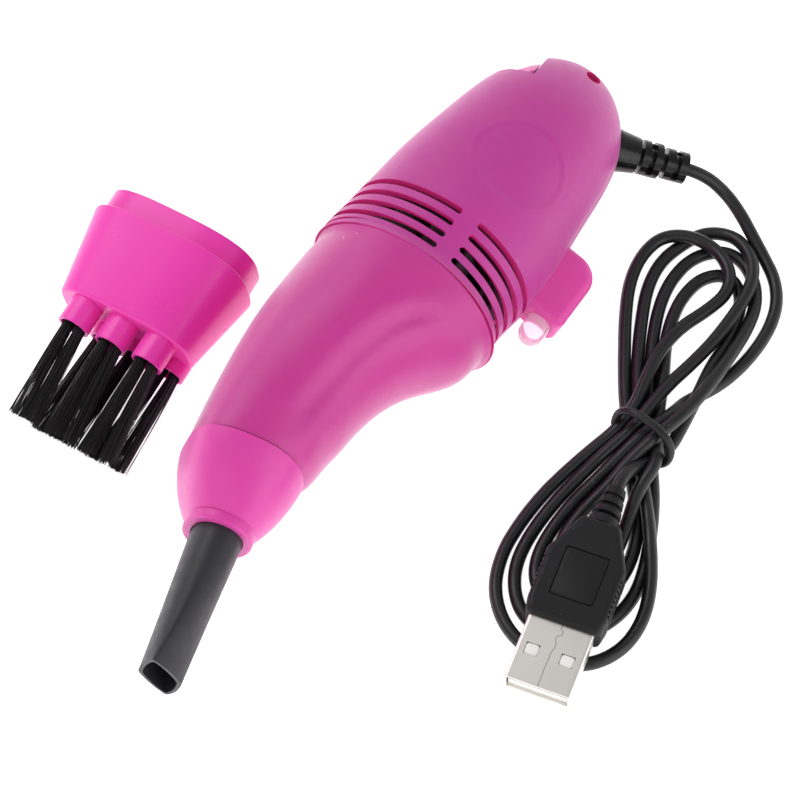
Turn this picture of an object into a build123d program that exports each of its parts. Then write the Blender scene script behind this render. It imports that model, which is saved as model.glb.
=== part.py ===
"""Desktop mini vacuum cleaner: a hand-held USB keyboard cleaner with a brush head and a tied cord.

The cleaner lies on its flank along Y, nozzle towards -Y, lamp side towards +X, and is rolled a
little so that the lamp side is lower. Units are millimetres, +Z is up, and the bench is Z = 0.
"""

import math
import os

from build123d import *

os.makedirs("parts", exist_ok=True)

# ---------------------------------------------------------------- driving dimensions
# Where the cleaner lies: the long axis runs through the centre of the joint of cup and housing.
AXIS_X = 16.05
AXIS_Y = 12.84
AXIS_HEIGHT = 19.3
ROLL = 18.0

# Housing, in two halves. Stations run along the axis, from the cup joint to the tail.
WALL = 1.6
HOUSING_LENGTH = 61.0
SEAM_RADIUS = 19.2
CAVITY_END = 53.5
SPIGOT_RADIUS = 16.5
SPIGOT_OFFSET = -0.4
SPIGOT_LENGTH = 3.6
SPIGOT_WALL = 1.5
SHOULDER_LENGTH = 1.9
SPIGOT_GAP = 0.3
SEAM_GAP = 0.5
BEAD_LENGTH = 0.9
BEAD_DEPTH = 0.55

# Vent slots in each half, either side of a plain web.
SLOT_COUNT = 4
SLOT_FIRST = 2.9
SLOT_PITCH = 2.7
SLOT_WIDTH = 1.25
WEB_WIDTH = 3.5
WEB_CENTRE = 1.2
SLOT_STOP = 2.2

THUMB_DIAMETER = 17.5
THUMB_STATION = 27.0
THUMB_OFFSET = 2.2
THUMB_DEPTH = 0.75
THUMB_LEVEL = 17.5
THUMB_SLOPE = 3.9
THUMB_ROUND_RADIUS = 27.0
THUMB_LONG_RADIUS = 60.0

# Step in the tail that the switch button slides on.
STEP_STATION = 47.8
STEP_LEVEL = -6.0
BUTTON_GAP = 0.35
BUTTON_END = 55.4
BUTTON_HALF_WIDTH = 7.4
BUTTON_SHRINK = 1.4
BUTTON_TRAVEL = 2.5
STEM_LENGTH = 2.4
STEM_WIDTH = 2.4
STEM_STATION = 50.4
STEM_DEPTH = 2.4
STEM_CLEARANCE = 0.4
SWITCH_SIZE = (9.0, 4.2, 3.6)
SWITCH_GAP = 0.1

LANYARD_STATION = 57.2
LANYARD_OFFSET = 3.1
LANYARD_DIAMETER = 3.2

# Dust cup: the nose, which pulls off the housing spigot.
CUP_WALL = 1.5
MOUTH_STATION = -45.35
MOUTH_OFFSET = -3.75
MOUTH_TILT = 14.5
NECK_LENGTH = 3.6
NECK_GAP = 0.2
NECK_INSET = 1.9

# Adapter and crevice nozzle, measured along the mouth axis from the mouth of the cup.
ADAPTER_GAP = 0.3
ADAPTER_LENGTH = 14.4
LIP_LENGTH = 1.3
BORE_HALF_HIGH = 4.75
BORE_HALF_WIDE = 7.0
NOZZLE_START = 8.0
NOZZLE_END = 41.45
NOZZLE_WALL = 0.8
NOZZLE_GAP = 0.15
NOZZLE_TWIST = 20.0

# Motor and fan, on the seam centre line.
MOTOR_START = 13.2
CAN_LENGTH = 24.0
CAN_DIAMETER = 20.2
CAN_FLATS = 15.2
CAN_ROUND = 1.2
BOSS_DIAMETER = 6.0
BOSS_LENGTH = 1.5
SHAFT_DIAMETER = 2.0
SHAFT_START = 2.6
SHAFT_CLEARANCE = 0.06
CAP_LENGTH = 3.2
PLATE_STATION = 13.2
PLATE_THICKNESS = 1.5
PLATE_GAP = 0.1
FAN_RADIUS = 14.4
FAN_START = 3.4
FAN_BLADE_HEIGHT = 5.4
FAN_DISC = 1.1
FAN_BLADES = 11
BLADE_THICKNESS = 0.8
HUB_DIAMETER = 7.0
TERMINAL_ACROSS = 7.0
TERMINAL_LENGTH = 3.0
WIRE_DIAMETER = 1.1
WIRE_SPACING = 2.4
SHROUD_STATION = 0.6
SHROUD_THICKNESS = 1.2
EYE_DIAMETER = 15.0

# Filter between cup and fan.
FILTER_THICKNESS = 1.5
FILTER_GAP = 0.1
FILTER_RIM = 2.2
FILTER_BAG_LENGTH = 13.0
FILTER_CLOTH = 0.6
CUP_LEDGE = 1.5
SEAL_SECTION = 1.0
SEAL_PROUD = 0.2
SEAL_GAP = 0.05

# Lamp pod under the housing.
POD_START = 11.9
POD_END = 27.4
POD_REACH = 26.3
POD_HALF_WIDTH = 4.4
POD_FRONT_ROUND = 1.7
POD_ROUND = 4.8
POD_EDGE = 1.8
LAMP_DIAMETER = 4.9
LAMP_LEVEL = 22.4
LAMP_FRONT = 9.9
LAMP_GAP = 0.15
LAMP_BODY_END = 16.0
LEAD_SIDE = 0.5
LEAD_SPACING = 2.54
LEAD_LENGTH = 5.0

# Screws that hold the halves, driven from the lower half.
SCREW_SPOTS = ((18.5, -12.6), (20.0, 13.4), (43.0, 10.5))
SCREW_DIAMETER = 2.0
SCREW_HEAD = 4.0
SCREW_HEAD_HEIGHT = 1.4
SCREW_REACH = 5.0
SCREW_SEAT = 8.0
BOSS_RADIUS = 2.5

# Strain relief at the lower rear of the housing.
RELIEF_STATION = 52.0
RELIEF_OFFSET = 14.6
RELIEF_ANGLE = 64.5
RELIEF_ROOT = 8.3
RELIEF_TIP = 6.1
RELIEF_CORE = 3.6
RELIEF_SLOT = 1.1
RELIEF_TAPER_LENGTH = 4.2
RELIEF_TAPER_TIP = 6.9
RELIEF_LENGTH = 14.0
RELIEF_SEAT = 6.0
RELIEF_FLANGE = 2.0
RELIEF_LIP = 1.2
RELIEF_GAP = 0.1

# Cord, hank and plug.
CORD_DIAMETER = 2.5
HANK_HEIGHT = 5.2
HANK_LOW_HEIGHT = 2.7
HANK_TIE = (65.4, 19.0)
HANK_UPPER = (58.1, 54.2)
HANK_LOWER = (68.7, -9.0)
HANK_LOBE = 15.4
HANK_EYE = 5.5
HANK_WAIST = 6.0
HANK_WAIST_LENGTH = 21.0
HANK_WAIST_HEIGHT = 7.8
TIE_WIDTH = 2.4
TIE_THICKNESS = 1.3
TIE_ROUND = 1.5
PLUG_WIDTH = 12.0
PLUG_THICKNESS = 4.5
PLUG_SHEET = 0.35
PLUG_EXPOSED = 12.4
PLUG_INSIDE = 5.0
PLUG_SPOT = (72.1, -23.2)
PLUG_TURN = 11.6
PLUG_DIP = 3.5
PLUG_GRIP_LENGTH = 21.0
PLUG_GRIP_THICKNESS = 7.4
PLUG_BOOT_LENGTH = 8.0
GRIP_FRONT = 13.6
GRIP_WIDEST = 14.7
GRIP_REAR = 7.2
GRIP_ROUND = 1.2
BOOT_ROOT = 6.2
BOOT_TIP = 3.6
BOOT_RINGS = 3
PANEL_SIZE = (8.2, 9.8)
PANEL_ROUND = 0.3
PANEL_DEPTH = 0.3
PANEL_FROM_FRONT = 9.2
RIB_COUNT = 8
RIB_PITCH = 1.0
RIB_WIDTH = 0.45
RIB_DEPTH = 0.35
RIB_START = 3.9
WINDOW_SIZE = (2.5, 2.2)
WINDOW_SPACING = 6.45
WINDOW_FROM_TIP = 6.3
TONGUE_WIDTH = 10.9
TONGUE_THICKNESS = 1.9
TONGUE_SETBACK = 0.6
CONTACT_PLACES = (-3.5, -1.0, 1.0, 3.5)
CONTACT_WIDTH = 1.0
CONTACT_THICKNESS = 0.25

# Brush head, lying beside the nose.
BRUSH_X = -26.9
BRUSH_Y = 0.8
BRUSH_YAW = 2.8
BRUSH_COLLAR_HEIGHT = 4.6
BRUSH_SKIRT_HEIGHT = 17.0
BRUSH_WALL = 1.3
BRUSH_COLLAR = (10.5, 15.6)
BRUSH_SQUARES = (3.0, 2.5)
BRUSH_FOOT_ROUND = 0.8
BRUSH_EDGE_ROUND = 0.4
BRUSH_HALF_WIDE = 16.7
BRUSH_HALF_DEEP = 12.5
BRUSH_FOOT_HALF_WIDE = 14.0
BRUSH_FOOT_HALF_DEEP = 8.4
FERRULE_DIAMETER = 6.3
FERRULE_LENGTH = 5.2
BACK_FERRULE_LENGTH = 2.6
FERRULE_GRIP = 3.6
FERRULE_ROW = 3.9
FRONT_ROW = (-7.5, 0.4, 8.3)
BACK_ROW = (-3.8, 3.2, 10.0)
TUFT_DIAMETER = 5.2
TUFT_LENGTH = 18.4

OUTLINE_POINTS = 20

# ---------------------------------------------------------------- the cleaner's own frame
# Local x runs towards the lamp side, local y along the axis to the tail, local z across, upwards.
roll = math.radians(ROLL)
lying = Plane(
    origin=(AXIS_X, AXIS_Y, AXIS_HEIGHT),
    x_dir=(math.cos(roll), 0, -math.sin(roll)),
    z_dir=(math.sin(roll), 0, math.cos(roll)),
)


def spot(station, offset=0.0, across=0.0):
    """A point of the cleaner, by its station along the axis."""
    return lying.from_local_coords(Vector(offset, station, across))


def square_to_axis(station, offset=0.0):
    """A plane square to the axis, facing the nozzle, its x towards the lamp side."""
    return Plane(origin=spot(station, offset), x_dir=lying.x_dir, z_dir=lying.y_dir * -1)


def beside(across):
    """A plane parallel to the split between the halves."""
    return lying.offset(across)


tilt = math.radians(MOUTH_TILT)
mouth_way = lying.x_dir * math.sin(tilt) - lying.y_dir * math.cos(tilt)
mouth_side = lying.x_dir * math.cos(tilt) + lying.y_dir * math.sin(tilt)
mouth = Plane(origin=spot(MOUTH_STATION, MOUTH_OFFSET), x_dir=mouth_side, z_dir=mouth_way)


def egg(half_top, half_bottom, half_wide, square_top=2.0, square_bottom=2.0, turn=0.0):
    """Fills a closed smooth outline: an ellipse at squareness 2, squarer above, pinched below it."""
    points = []
    swing = math.radians(turn)
    for step in range(OUTLINE_POINTS):
        angle = 2 * math.pi * step / OUTLINE_POINTS
        along, across = math.cos(angle), math.sin(angle)
        power = square_bottom if along > 0 else square_top
        reach = half_bottom if along > 0 else half_top
        x = math.copysign(abs(along) ** (2 / power), along) * reach
        y = math.copysign(abs(across) ** (2 / power), across) * half_wide
        points.append(
            (x * math.cos(swing) - y * math.sin(swing), x * math.sin(swing) + y * math.cos(swing))
        )
    with BuildLine() as outline:
        Spline(*points, periodic=True)
    make_face(outline.edges())


# Housing sections: station, offset of the middle, half height, half width.
HOUSING_SECTIONS = (
    (0.0, 0.2, 19.1, SEAM_RADIUS),
    (12.0, 0.9, 18.3, 18.7),
    (28.0, 1.7, 17.2, 17.6),
    (40.0, 1.8, 16.2, 15.6),
    (48.0, 2.1, 14.6, 13.0),
    (54.0, 2.2, 11.8, 9.8),
    (58.2, 2.2, 8.0, 6.6),
    (60.4, 2.2, 4.0, 3.4),
)


def housing_form(inset, last_station):
    """Lofts the housing's form, moved in by an inset, as far as a station."""
    sections = []
    for station, offset, half_high, half_wide in HOUSING_SECTIONS:
        if station <= last_station:
            with BuildSketch(square_to_axis(station, offset)) as section:
                egg(half_high - inset, half_high - inset, half_wide - inset)
            sections.append(section.sketch)
    loft(sections)


# Cup sections: station, middle, half height above, half height below, half width, squareness of each.
CUP_SECTIONS = (
    (-SEAM_GAP, 0.2, 19.3, 18.9, 19.2, 2.0, 2.0),
    (-8.0, -1.0, 19.3, 17.9, 19.2, 2.05, 1.95),
    (-15.0, -2.6, 17.3, 14.9, 18.5, 2.15, 1.75),
    (-22.0, -3.6, 15.4, 12.8, 17.4, 2.3, 1.65),
    (-33.0, -4.2, 13.2, 12.1, 16.0, 2.7, 1.75),
)
MOUTH_SECTION = (11.0, 10.3, 14.7, 3.2, 2.0)


def cup_form(inset=0.0, throat=None):
    """Lofts the cup's form, or its inside: a round throat, then the form moved in by an inset."""
    sections = []
    if throat:
        station, radius = throat
        with BuildSketch(square_to_axis(station, SPIGOT_OFFSET)) as section:
            egg(radius, radius, radius)
        sections.append(section.sketch)
    for station, offset, top, bottom, wide, square_top, square_bottom in CUP_SECTIONS[bool(throat) :]:
        with BuildSketch(square_to_axis(station, offset)) as section:
            egg(top - inset, bottom - inset, wide - inset, square_top, square_bottom)
        sections.append(section.sketch)
    top, bottom, wide, square_top, square_bottom = MOUTH_SECTION
    with BuildSketch(mouth.offset(-inset)) as section:
        egg(top - inset, bottom - inset, wide - inset, square_top, square_bottom)
    sections.append(section.sketch)
    loft(sections)


def finish(builder, name):
    """Labels a finished piece and writes it."""
    builder.part.label = name
    export_step(builder.part, f"parts/{name}.step")


fan_axis = Axis(spot(0, SPIGOT_OFFSET), lying.y_dir)

# ---------------------------------------------------------------- housing
step_reach = 30.0

with BuildPart() as housing_solid:
    housing_form(0, HOUSING_LENGTH)
    # The step in the tail under the switch button.
    with BuildSketch(beside(-step_reach)):
        with Locations((STEP_LEVEL, STEP_STATION)):
            Rectangle(step_reach, step_reach, align=(Align.MAX, Align.MIN))
    extrude(amount=2 * step_reach, mode=Mode.SUBTRACT)
    # The bead groove at the cup joint.
    with BuildSketch(square_to_axis(BEAD_LENGTH + 0.5)):
        Circle(SEAM_RADIUS + 2)
        Circle(SEAM_RADIUS - BEAD_DEPTH, mode=Mode.SUBTRACT)
    extrude(amount=0.5, mode=Mode.SUBTRACT)
    # The spigot that the cup slides on.
    with BuildSketch(square_to_axis(1.0, SPIGOT_OFFSET)):
        Circle(SPIGOT_RADIUS)
    extrude(amount=SPIGOT_LENGTH + 1.0)
    # The groove that holds the seal.
    with BuildSketch(square_to_axis((SEAL_SECTION - SPIGOT_LENGTH) / 2 + SEAL_GAP, SPIGOT_OFFSET)):
        Circle(SPIGOT_RADIUS + 1)
        Circle(SPIGOT_RADIUS + SEAL_PROUD - SEAL_SECTION - SEAL_GAP, mode=Mode.SUBTRACT)
    extrude(amount=SEAL_SECTION + 2 * SEAL_GAP, mode=Mode.SUBTRACT)

with BuildPart() as housing_cavity:
    housing_form(WALL, CAVITY_END + 1)
    # A shoulder carries the spigot.
    with BuildSketch(square_to_axis(SHOULDER_LENGTH)):
        Circle(SEAM_RADIUS + 2)
    extrude(amount=SHOULDER_LENGTH + 1, mode=Mode.SUBTRACT)
    with BuildSketch(square_to_axis(SHOULDER_LENGTH + 0.1, SPIGOT_OFFSET)):
        Circle(SPIGOT_RADIUS - SPIGOT_WALL)
    extrude(amount=SPIGOT_LENGTH + SHOULDER_LENGTH + 1)
    with BuildSketch(beside(-step_reach)):
        with Locations((STEP_LEVEL + WALL, STEP_STATION - WALL)):
            Rectangle(step_reach, step_reach, align=(Align.MAX, Align.MIN))
    extrude(amount=2 * step_reach, mode=Mode.SUBTRACT)
    # Bosses for the screws stay solid.
    with BuildSketch(beside(-step_reach)):
        for station, shift in SCREW_SPOTS:
            with Locations((shift, station)):
                Circle(BOSS_RADIUS)
    extrude(amount=2 * step_reach, mode=Mode.SUBTRACT)

# The shallow round dish for the thumb: a saddle with soft edges, cut into the upper half.
thumb_slope = math.radians(THUMB_SLOPE)
thumb_normal = lying.z_dir * math.cos(thumb_slope) + lying.y_dir * math.sin(thumb_slope)
thumb = Plane(
    origin=spot(THUMB_STATION, THUMB_OFFSET, THUMB_LEVEL - THUMB_DEPTH), x_dir=lying.x_dir, z_dir=thumb_normal
)
waist_sweep = 2 * THUMB_DIAMETER
waist_rise = THUMB_LONG_RADIUS - math.sqrt(THUMB_LONG_RADIUS**2 - waist_sweep**2)
with BuildPart() as thumb_dish:
    with BuildSketch(thumb):
        Circle(THUMB_DIAMETER)
    extrude(amount=WALL * 2)
    # The saddle: a bar with a hollow waist, lying along the axis.
    with BuildSketch(Plane(origin=thumb.origin, x_dir=thumb.y_dir, z_dir=thumb.x_dir * -1)):
        with BuildLine():
            ThreePointArc((-waist_sweep, waist_rise), (0, 0), (waist_sweep, waist_rise))
            Polyline(
                (waist_sweep, waist_rise), (waist_sweep, -THUMB_ROUND_RADIUS),
                (-waist_sweep, -THUMB_ROUND_RADIUS), (-waist_sweep, waist_rise),
            )
        make_face()
    revolve(axis=Axis(thumb.origin - thumb.z_dir * THUMB_ROUND_RADIUS, thumb.y_dir), mode=Mode.SUBTRACT)

relief_way = lying.y_dir * math.cos(math.radians(RELIEF_ANGLE)) + lying.x_dir * math.sin(
    math.radians(RELIEF_ANGLE)
)
relief = Plane(origin=spot(RELIEF_STATION, RELIEF_OFFSET), x_dir=lying.z_dir, z_dir=relief_way)


slot_outer = SEAM_RADIUS - 0.2
slot_spans = (
    (-slot_outer, WEB_CENTRE - WEB_WIDTH / 2),
    (WEB_CENTRE + WEB_WIDTH / 2, slot_outer),
)
stem_slot_length = STEM_LENGTH + BUTTON_TRAVEL + 2 * STEM_CLEARANCE
stem_slot_start = STEM_STATION - STEM_CLEARANCE
switch_long, switch_wide, switch_deep = SWITCH_SIZE
switch_top = STEP_LEVEL + WALL
switch_start = stem_slot_start + (stem_slot_length - switch_long) / 2

for side, name in ((1, "left_shell"), (-1, "right_shell")):
    with BuildPart() as half:
        add(housing_solid.part)
        split(bisect_by=lying, keep=Keep.TOP if side > 0 else Keep.BOTTOM)
        add(housing_cavity.part, mode=Mode.SUBTRACT)
        # Vent slots, cut straight across as the mould draws.
        with BuildSketch(beside(side * SLOT_STOP)):
            for row in range(SLOT_COUNT):
                for start, end in slot_spans:
                    with Locations(((start + end) / 2, SLOT_FIRST + row * SLOT_PITCH)):
                        SlotOverall(end - start, SLOT_WIDTH)
        extrude(amount=side * step_reach, mode=Mode.SUBTRACT)
        # Lanyard bore across the tail.
        with BuildSketch(beside(-step_reach)):
            with Locations((LANYARD_OFFSET, LANYARD_STATION)):
                Circle(LANYARD_DIAMETER / 2)
        extrude(amount=2 * step_reach, mode=Mode.SUBTRACT)
        # Slot for the switch stem, through the step.
        with BuildSketch(beside(-STEM_WIDTH / 2 - STEM_CLEARANCE)):
            with Locations((STEP_LEVEL - 1, stem_slot_start)):
                Rectangle(WALL + 2, stem_slot_length, align=(Align.MIN, Align.MIN))
        extrude(amount=STEM_WIDTH + 2 * STEM_CLEARANCE, mode=Mode.SUBTRACT)
        if side > 0:
            add(thumb_dish.part, mode=Mode.SUBTRACT)
        # Pocket for the switch in the solid tail.
        with BuildSketch(beside(-switch_wide / 2 - SWITCH_GAP)):
            with Locations((switch_top, stem_slot_start + stem_slot_length / 2)):
                Rectangle(
                    switch_deep + SWITCH_GAP, switch_long + 2 * SWITCH_GAP, align=(Align.MIN, Align.CENTER)
                )
        extrude(amount=switch_wide + 2 * SWITCH_GAP, mode=Mode.SUBTRACT)
        # Hole and seat for the strain relief.
        with BuildSketch(relief.offset(-RELIEF_SEAT - RELIEF_GAP)):
            Circle(RELIEF_ROOT / 2)
        extrude(amount=2 * RELIEF_SEAT, mode=Mode.SUBTRACT)
        with BuildSketch(relief.offset(-RELIEF_SEAT + RELIEF_GAP)):
            Circle(RELIEF_ROOT / 2 + RELIEF_LIP + RELIEF_GAP)
        extrude(amount=-RELIEF_FLANGE - 2 * RELIEF_GAP, mode=Mode.SUBTRACT)
        # Screw holes: blind pilots above, clearance and head recess below.
        with BuildSketch(beside(0)):
            for station, shift in SCREW_SPOTS:
                with Locations((shift, station)):
                    Circle(SCREW_DIAMETER / 2 if side > 0 else SCREW_DIAMETER / 2 + 0.2)
        extrude(amount=SCREW_REACH if side > 0 else -step_reach, mode=Mode.SUBTRACT)
        if side < 0:
            with BuildSketch(beside(-SCREW_SEAT)):
                for station, shift in SCREW_SPOTS:
                    with Locations((shift, station)):
                        Circle(SCREW_HEAD / 2 + 0.2)
            extrude(amount=-step_reach, mode=Mode.SUBTRACT)
    finish(half, name)

# ---------------------------------------------------------------- dust cup
mouth_top, mouth_bottom, mouth_wide, mouth_square_top, mouth_square_bottom = MOUTH_SECTION
mouth_squares = (mouth_square_top, mouth_square_bottom)


def mouth_egg(inset, extra_turn=0.0):
    """The mouth's outline, moved in by an inset."""
    egg(mouth_top - inset, mouth_bottom - inset, mouth_wide - inset, *mouth_squares, extra_turn)


cup_bore = SPIGOT_RADIUS + SPIGOT_GAP
filter_front = SPIGOT_LENGTH + FILTER_GAP + FILTER_THICKNESS + FILTER_GAP

with BuildPart() as dust_cup:
    cup_form()
    with BuildSketch(mouth.offset(-1)):
        mouth_egg(NECK_INSET)
    extrude(amount=NECK_LENGTH + 1)
    # Straight bore for the housing spigot and the filter.
    with BuildSketch(square_to_axis(1.0, SPIGOT_OFFSET)):
        Circle(cup_bore)
    extrude(amount=filter_front + 1, mode=Mode.SUBTRACT)

with BuildPart() as cup_cavity:
    cup_form(CUP_WALL, throat=(-filter_front + 0.3, cup_bore - CUP_LEDGE))
    with BuildSketch(mouth.offset(-CUP_WALL - 0.5)):
        mouth_egg(NECK_INSET + CUP_WALL)
    extrude(amount=NECK_LENGTH + CUP_WALL + 1)

with BuildPart() as cup:
    add(dust_cup.part)
    add(cup_cavity.part, mode=Mode.SUBTRACT)
finish(cup, "dust_cup")

with BuildPart() as seal_ring:
    with BuildSketch(lying):
        with Locations((SPIGOT_OFFSET + SPIGOT_RADIUS + SEAL_PROUD - SEAL_SECTION / 2, -SPIGOT_LENGTH / 2)):
            Circle(SEAL_SECTION / 2)
    revolve(axis=fan_axis)
finish(seal_ring, "seal_ring")

# ---------------------------------------------------------------- filter
with BuildPart() as filter_frame:
    with BuildSketch(square_to_axis(-SPIGOT_LENGTH - FILTER_GAP, SPIGOT_OFFSET)):
        Circle(cup_bore - FILTER_GAP)
        Circle(cup_bore - FILTER_GAP - FILTER_RIM, mode=Mode.SUBTRACT)
        with PolarLocations(0, 3):
            Rectangle(cup_bore - FILTER_GAP - FILTER_RIM / 2, 1.2, align=(Align.MIN, Align.CENTER))
    extrude(amount=FILTER_THICKNESS)
finish(filter_frame, "filter_frame")

bag_root = cup_bore - FILTER_RIM - CUP_LEDGE
with BuildPart() as filter_cloth:
    with BuildSketch(square_to_axis(-filter_front + FILTER_GAP, SPIGOT_OFFSET)):
        Circle(bag_root)
    with BuildSketch(square_to_axis(-filter_front - FILTER_BAG_LENGTH, SPIGOT_OFFSET - 2.0)):
        Circle(bag_root * 0.45)
    loft()
    fillet(filter_cloth.edges().sort_by(fan_axis)[0], 2.5)
    offset(amount=-FILTER_CLOTH, openings=filter_cloth.faces().sort_by(fan_axis)[-1])
finish(filter_cloth, "filter_cloth")

# ---------------------------------------------------------------- adapter and crevice nozzle
# Adapter sections: distance from the mouth, middle, half above, below and wide, squareness.
ADAPTER_SECTIONS = (
    (ADAPTER_GAP, 0.0, mouth_top + 0.35, mouth_bottom + 0.35, mouth_wide + 0.35, 3.2, 2.0),
    (5.0, -0.1, 10.2, 9.7, 13.7, 3.0, 2.0),
    (ADAPTER_LENGTH - LIP_LENGTH - 0.6, -0.6, 6.2, 6.2, 8.9, 2.5, 2.1),
)

with BuildPart() as adapter_solid:
    for distance, middle, half_top, half_bottom, half_wide, square_a, square_b in ADAPTER_SECTIONS:
        with BuildSketch(mouth.offset(distance)):
            with Locations((middle, 0)):
                egg(half_top, half_bottom, half_wide, square_a, square_b)
    loft()
    # The raised lip round the bore.
    with BuildSketch(mouth.offset(ADAPTER_LENGTH - LIP_LENGTH - 1.0)):
        with Locations((-0.6, 0)):
            egg(6.3, 6.3, 8.6, 2.3, 2.1)
    extrude(amount=LIP_LENGTH + 1.0)
    fillet(adapter_solid.edges().sort_by(Axis(mouth.origin, mouth.z_dir))[-1], 0.6)

with BuildPart() as nozzle_adapter:
    add(adapter_solid.part)
    # Socket for the neck of the cup.
    with BuildSketch(mouth.offset(ADAPTER_GAP - 1)):
        mouth_egg(NECK_INSET - NECK_GAP)
    extrude(amount=NECK_LENGTH + NECK_GAP + 1, mode=Mode.SUBTRACT)
    # Funnel from the socket to the bore.
    with BuildSketch(mouth.offset(NECK_LENGTH)):
        with Locations((-0.2, 0)):
            egg(7.4, 7.0, 10.4, 2.6, 2.0)
    with BuildSketch(mouth.offset(NOZZLE_START)):
        with Locations((-0.6, 0)):
            egg(BORE_HALF_HIGH - 0.8, BORE_HALF_HIGH - 0.8, BORE_HALF_WIDE - 0.8, 2.2, 2.1)
    loft(mode=Mode.SUBTRACT)
    with BuildSketch(mouth.offset(NOZZLE_START - 0.5)):
        with Locations((-0.6, 0)):
            egg(BORE_HALF_HIGH - 0.8, BORE_HALF_HIGH - 0.8, BORE_HALF_WIDE - 0.8, 2.2, 2.1)
    extrude(amount=ADAPTER_LENGTH, mode=Mode.SUBTRACT)
    with BuildSketch(mouth.offset(NOZZLE_START)):
        with Locations((-0.6, 0)):
            egg(BORE_HALF_HIGH, BORE_HALF_HIGH, BORE_HALF_WIDE, 2.2, 2.1)
    extrude(amount=ADAPTER_LENGTH, mode=Mode.SUBTRACT)
finish(nozzle_adapter, "nozzle_adapter")

# Nozzle sections: distance, half high, half wide, squareness, turn.
NOZZLE_SECTIONS = (
    (NOZZLE_START + NOZZLE_GAP, 4.6, 6.85, 2.2, 0.0),
    (ADAPTER_LENGTH + 1.0, 4.6, 6.85, 2.2, 0.0),
    (28.0, 4.2, 7.0, 1.9, 8.0),
    (NOZZLE_END, 3.9, 7.6, 1.35, NOZZLE_TWIST),
)


def nozzle_form(inset):
    """Lofts the nozzle's form, moved in by an inset."""
    sections = []
    for distance, half_high, half_wide, square, turn in NOZZLE_SECTIONS:
        with BuildSketch(mouth.offset(distance)) as section:
            with Locations((-0.6, 0)):
                egg(half_high - inset, half_high - inset, half_wide - inset, square, square, turn)
        sections.append(section.sketch)
    loft(sections)


with BuildPart() as nozzle_bore:
    nozzle_form(NOZZLE_WALL)
with BuildPart() as crevice_nozzle:
    nozzle_form(0)
    add(nozzle_bore.part, mode=Mode.SUBTRACT)
finish(crevice_nozzle, "crevice_nozzle")

# ---------------------------------------------------------------- motor and fan
can_end = MOTOR_START + CAN_LENGTH


def motor_section(diameter, flats):
    """The motor's outline: a circle with two flats."""
    Circle(diameter / 2)
    Rectangle(flats, diameter, mode=Mode.INTERSECT)


with BuildPart() as motor_can:
    with BuildSketch(square_to_axis(can_end, SPIGOT_OFFSET)):
        Circle(CAN_DIAMETER / 2)
    extrude(amount=CAN_LENGTH)
    fillet(motor_can.edges().sort_by(fan_axis)[0], CAN_ROUND)
    with BuildSketch(square_to_axis(can_end, SPIGOT_OFFSET)):
        Rectangle(CAN_FLATS, CAN_DIAMETER)
    extrude(amount=CAN_LENGTH, mode=Mode.INTERSECT)
    with BuildSketch(square_to_axis(MOTOR_START, SPIGOT_OFFSET)):
        Circle(BOSS_DIAMETER / 2)
    extrude(amount=BOSS_LENGTH)
    with BuildSketch(square_to_axis(can_end, SPIGOT_OFFSET)):
        Circle(SHAFT_DIAMETER / 2 + SHAFT_CLEARANCE)
    extrude(amount=CAN_LENGTH + BOSS_LENGTH, mode=Mode.SUBTRACT)
finish(motor_can, "motor_can")

with BuildPart() as motor_end_cap:
    with BuildSketch(square_to_axis(can_end + CAP_LENGTH, SPIGOT_OFFSET)):
        motor_section(CAN_DIAMETER - 0.6, CAN_FLATS - 0.6)
    extrude(amount=CAP_LENGTH)
    with BuildSketch(square_to_axis(can_end + CAP_LENGTH, SPIGOT_OFFSET)):
        Circle(SHAFT_DIAMETER * 1.6)
    extrude(amount=-1.4)
    with BuildSketch(square_to_axis(can_end + 2.2, SPIGOT_OFFSET)):
        Circle(SHAFT_DIAMETER / 2 + SHAFT_CLEARANCE)
    extrude(amount=2.2, mode=Mode.SUBTRACT)
    with BuildSketch(square_to_axis(can_end + CAP_LENGTH, SPIGOT_OFFSET)):
        with Locations((0, TERMINAL_ACROSS), (0, -TERMINAL_ACROSS)):
            Rectangle(2.4, 0.5)
    extrude(amount=-TERMINAL_LENGTH)
finish(motor_end_cap, "motor_end_cap")

# Two wires from the motor's terminals to the switch.
with BuildPart() as motor_wires:
    for side in (1, -1):
        with BuildLine() as wire:
            Spline(
                spot(can_end + CAP_LENGTH + TERMINAL_LENGTH, SPIGOT_OFFSET, side * TERMINAL_ACROSS),
                spot(switch_start, switch_top + switch_deep / 2, side * WIRE_SPACING / 2),
                tangents=(lying.y_dir, lying.y_dir),
            )
        with BuildSketch(Plane(origin=wire.line @ 0, z_dir=wire.line % 0)):
            Circle(WIRE_DIAMETER / 2)
        sweep(path=wire.line)
finish(motor_wires, "motor_wires")

with BuildPart() as motor_plate:
    add(housing_cavity.part)
    with BuildSketch(square_to_axis(PLATE_STATION)):
        Circle(SEAM_RADIUS + 2)
    extrude(amount=PLATE_THICKNESS, mode=Mode.INTERSECT)
    with BuildSketch(square_to_axis(PLATE_STATION, SPIGOT_OFFSET)):
        Circle(BOSS_DIAMETER / 2)
        with Locations((0, 8.0), (0, -8.0)):
            Circle(1.0)
    extrude(amount=PLATE_THICKNESS, mode=Mode.SUBTRACT)
finish(motor_plate, "motor_plate")

with BuildPart() as motor_screws:
    with BuildSketch(square_to_axis(PLATE_STATION - PLATE_THICKNESS, SPIGOT_OFFSET)):
        with Locations((0, 8.0), (0, -8.0)):
            Circle(1.7)
    extrude(amount=1.1)
    with BuildSketch(square_to_axis(PLATE_STATION, SPIGOT_OFFSET)):
        with Locations((0, 8.0), (0, -8.0)):
            Circle(1.0)
    extrude(amount=PLATE_THICKNESS)
finish(motor_screws, "motor_screws")

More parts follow.
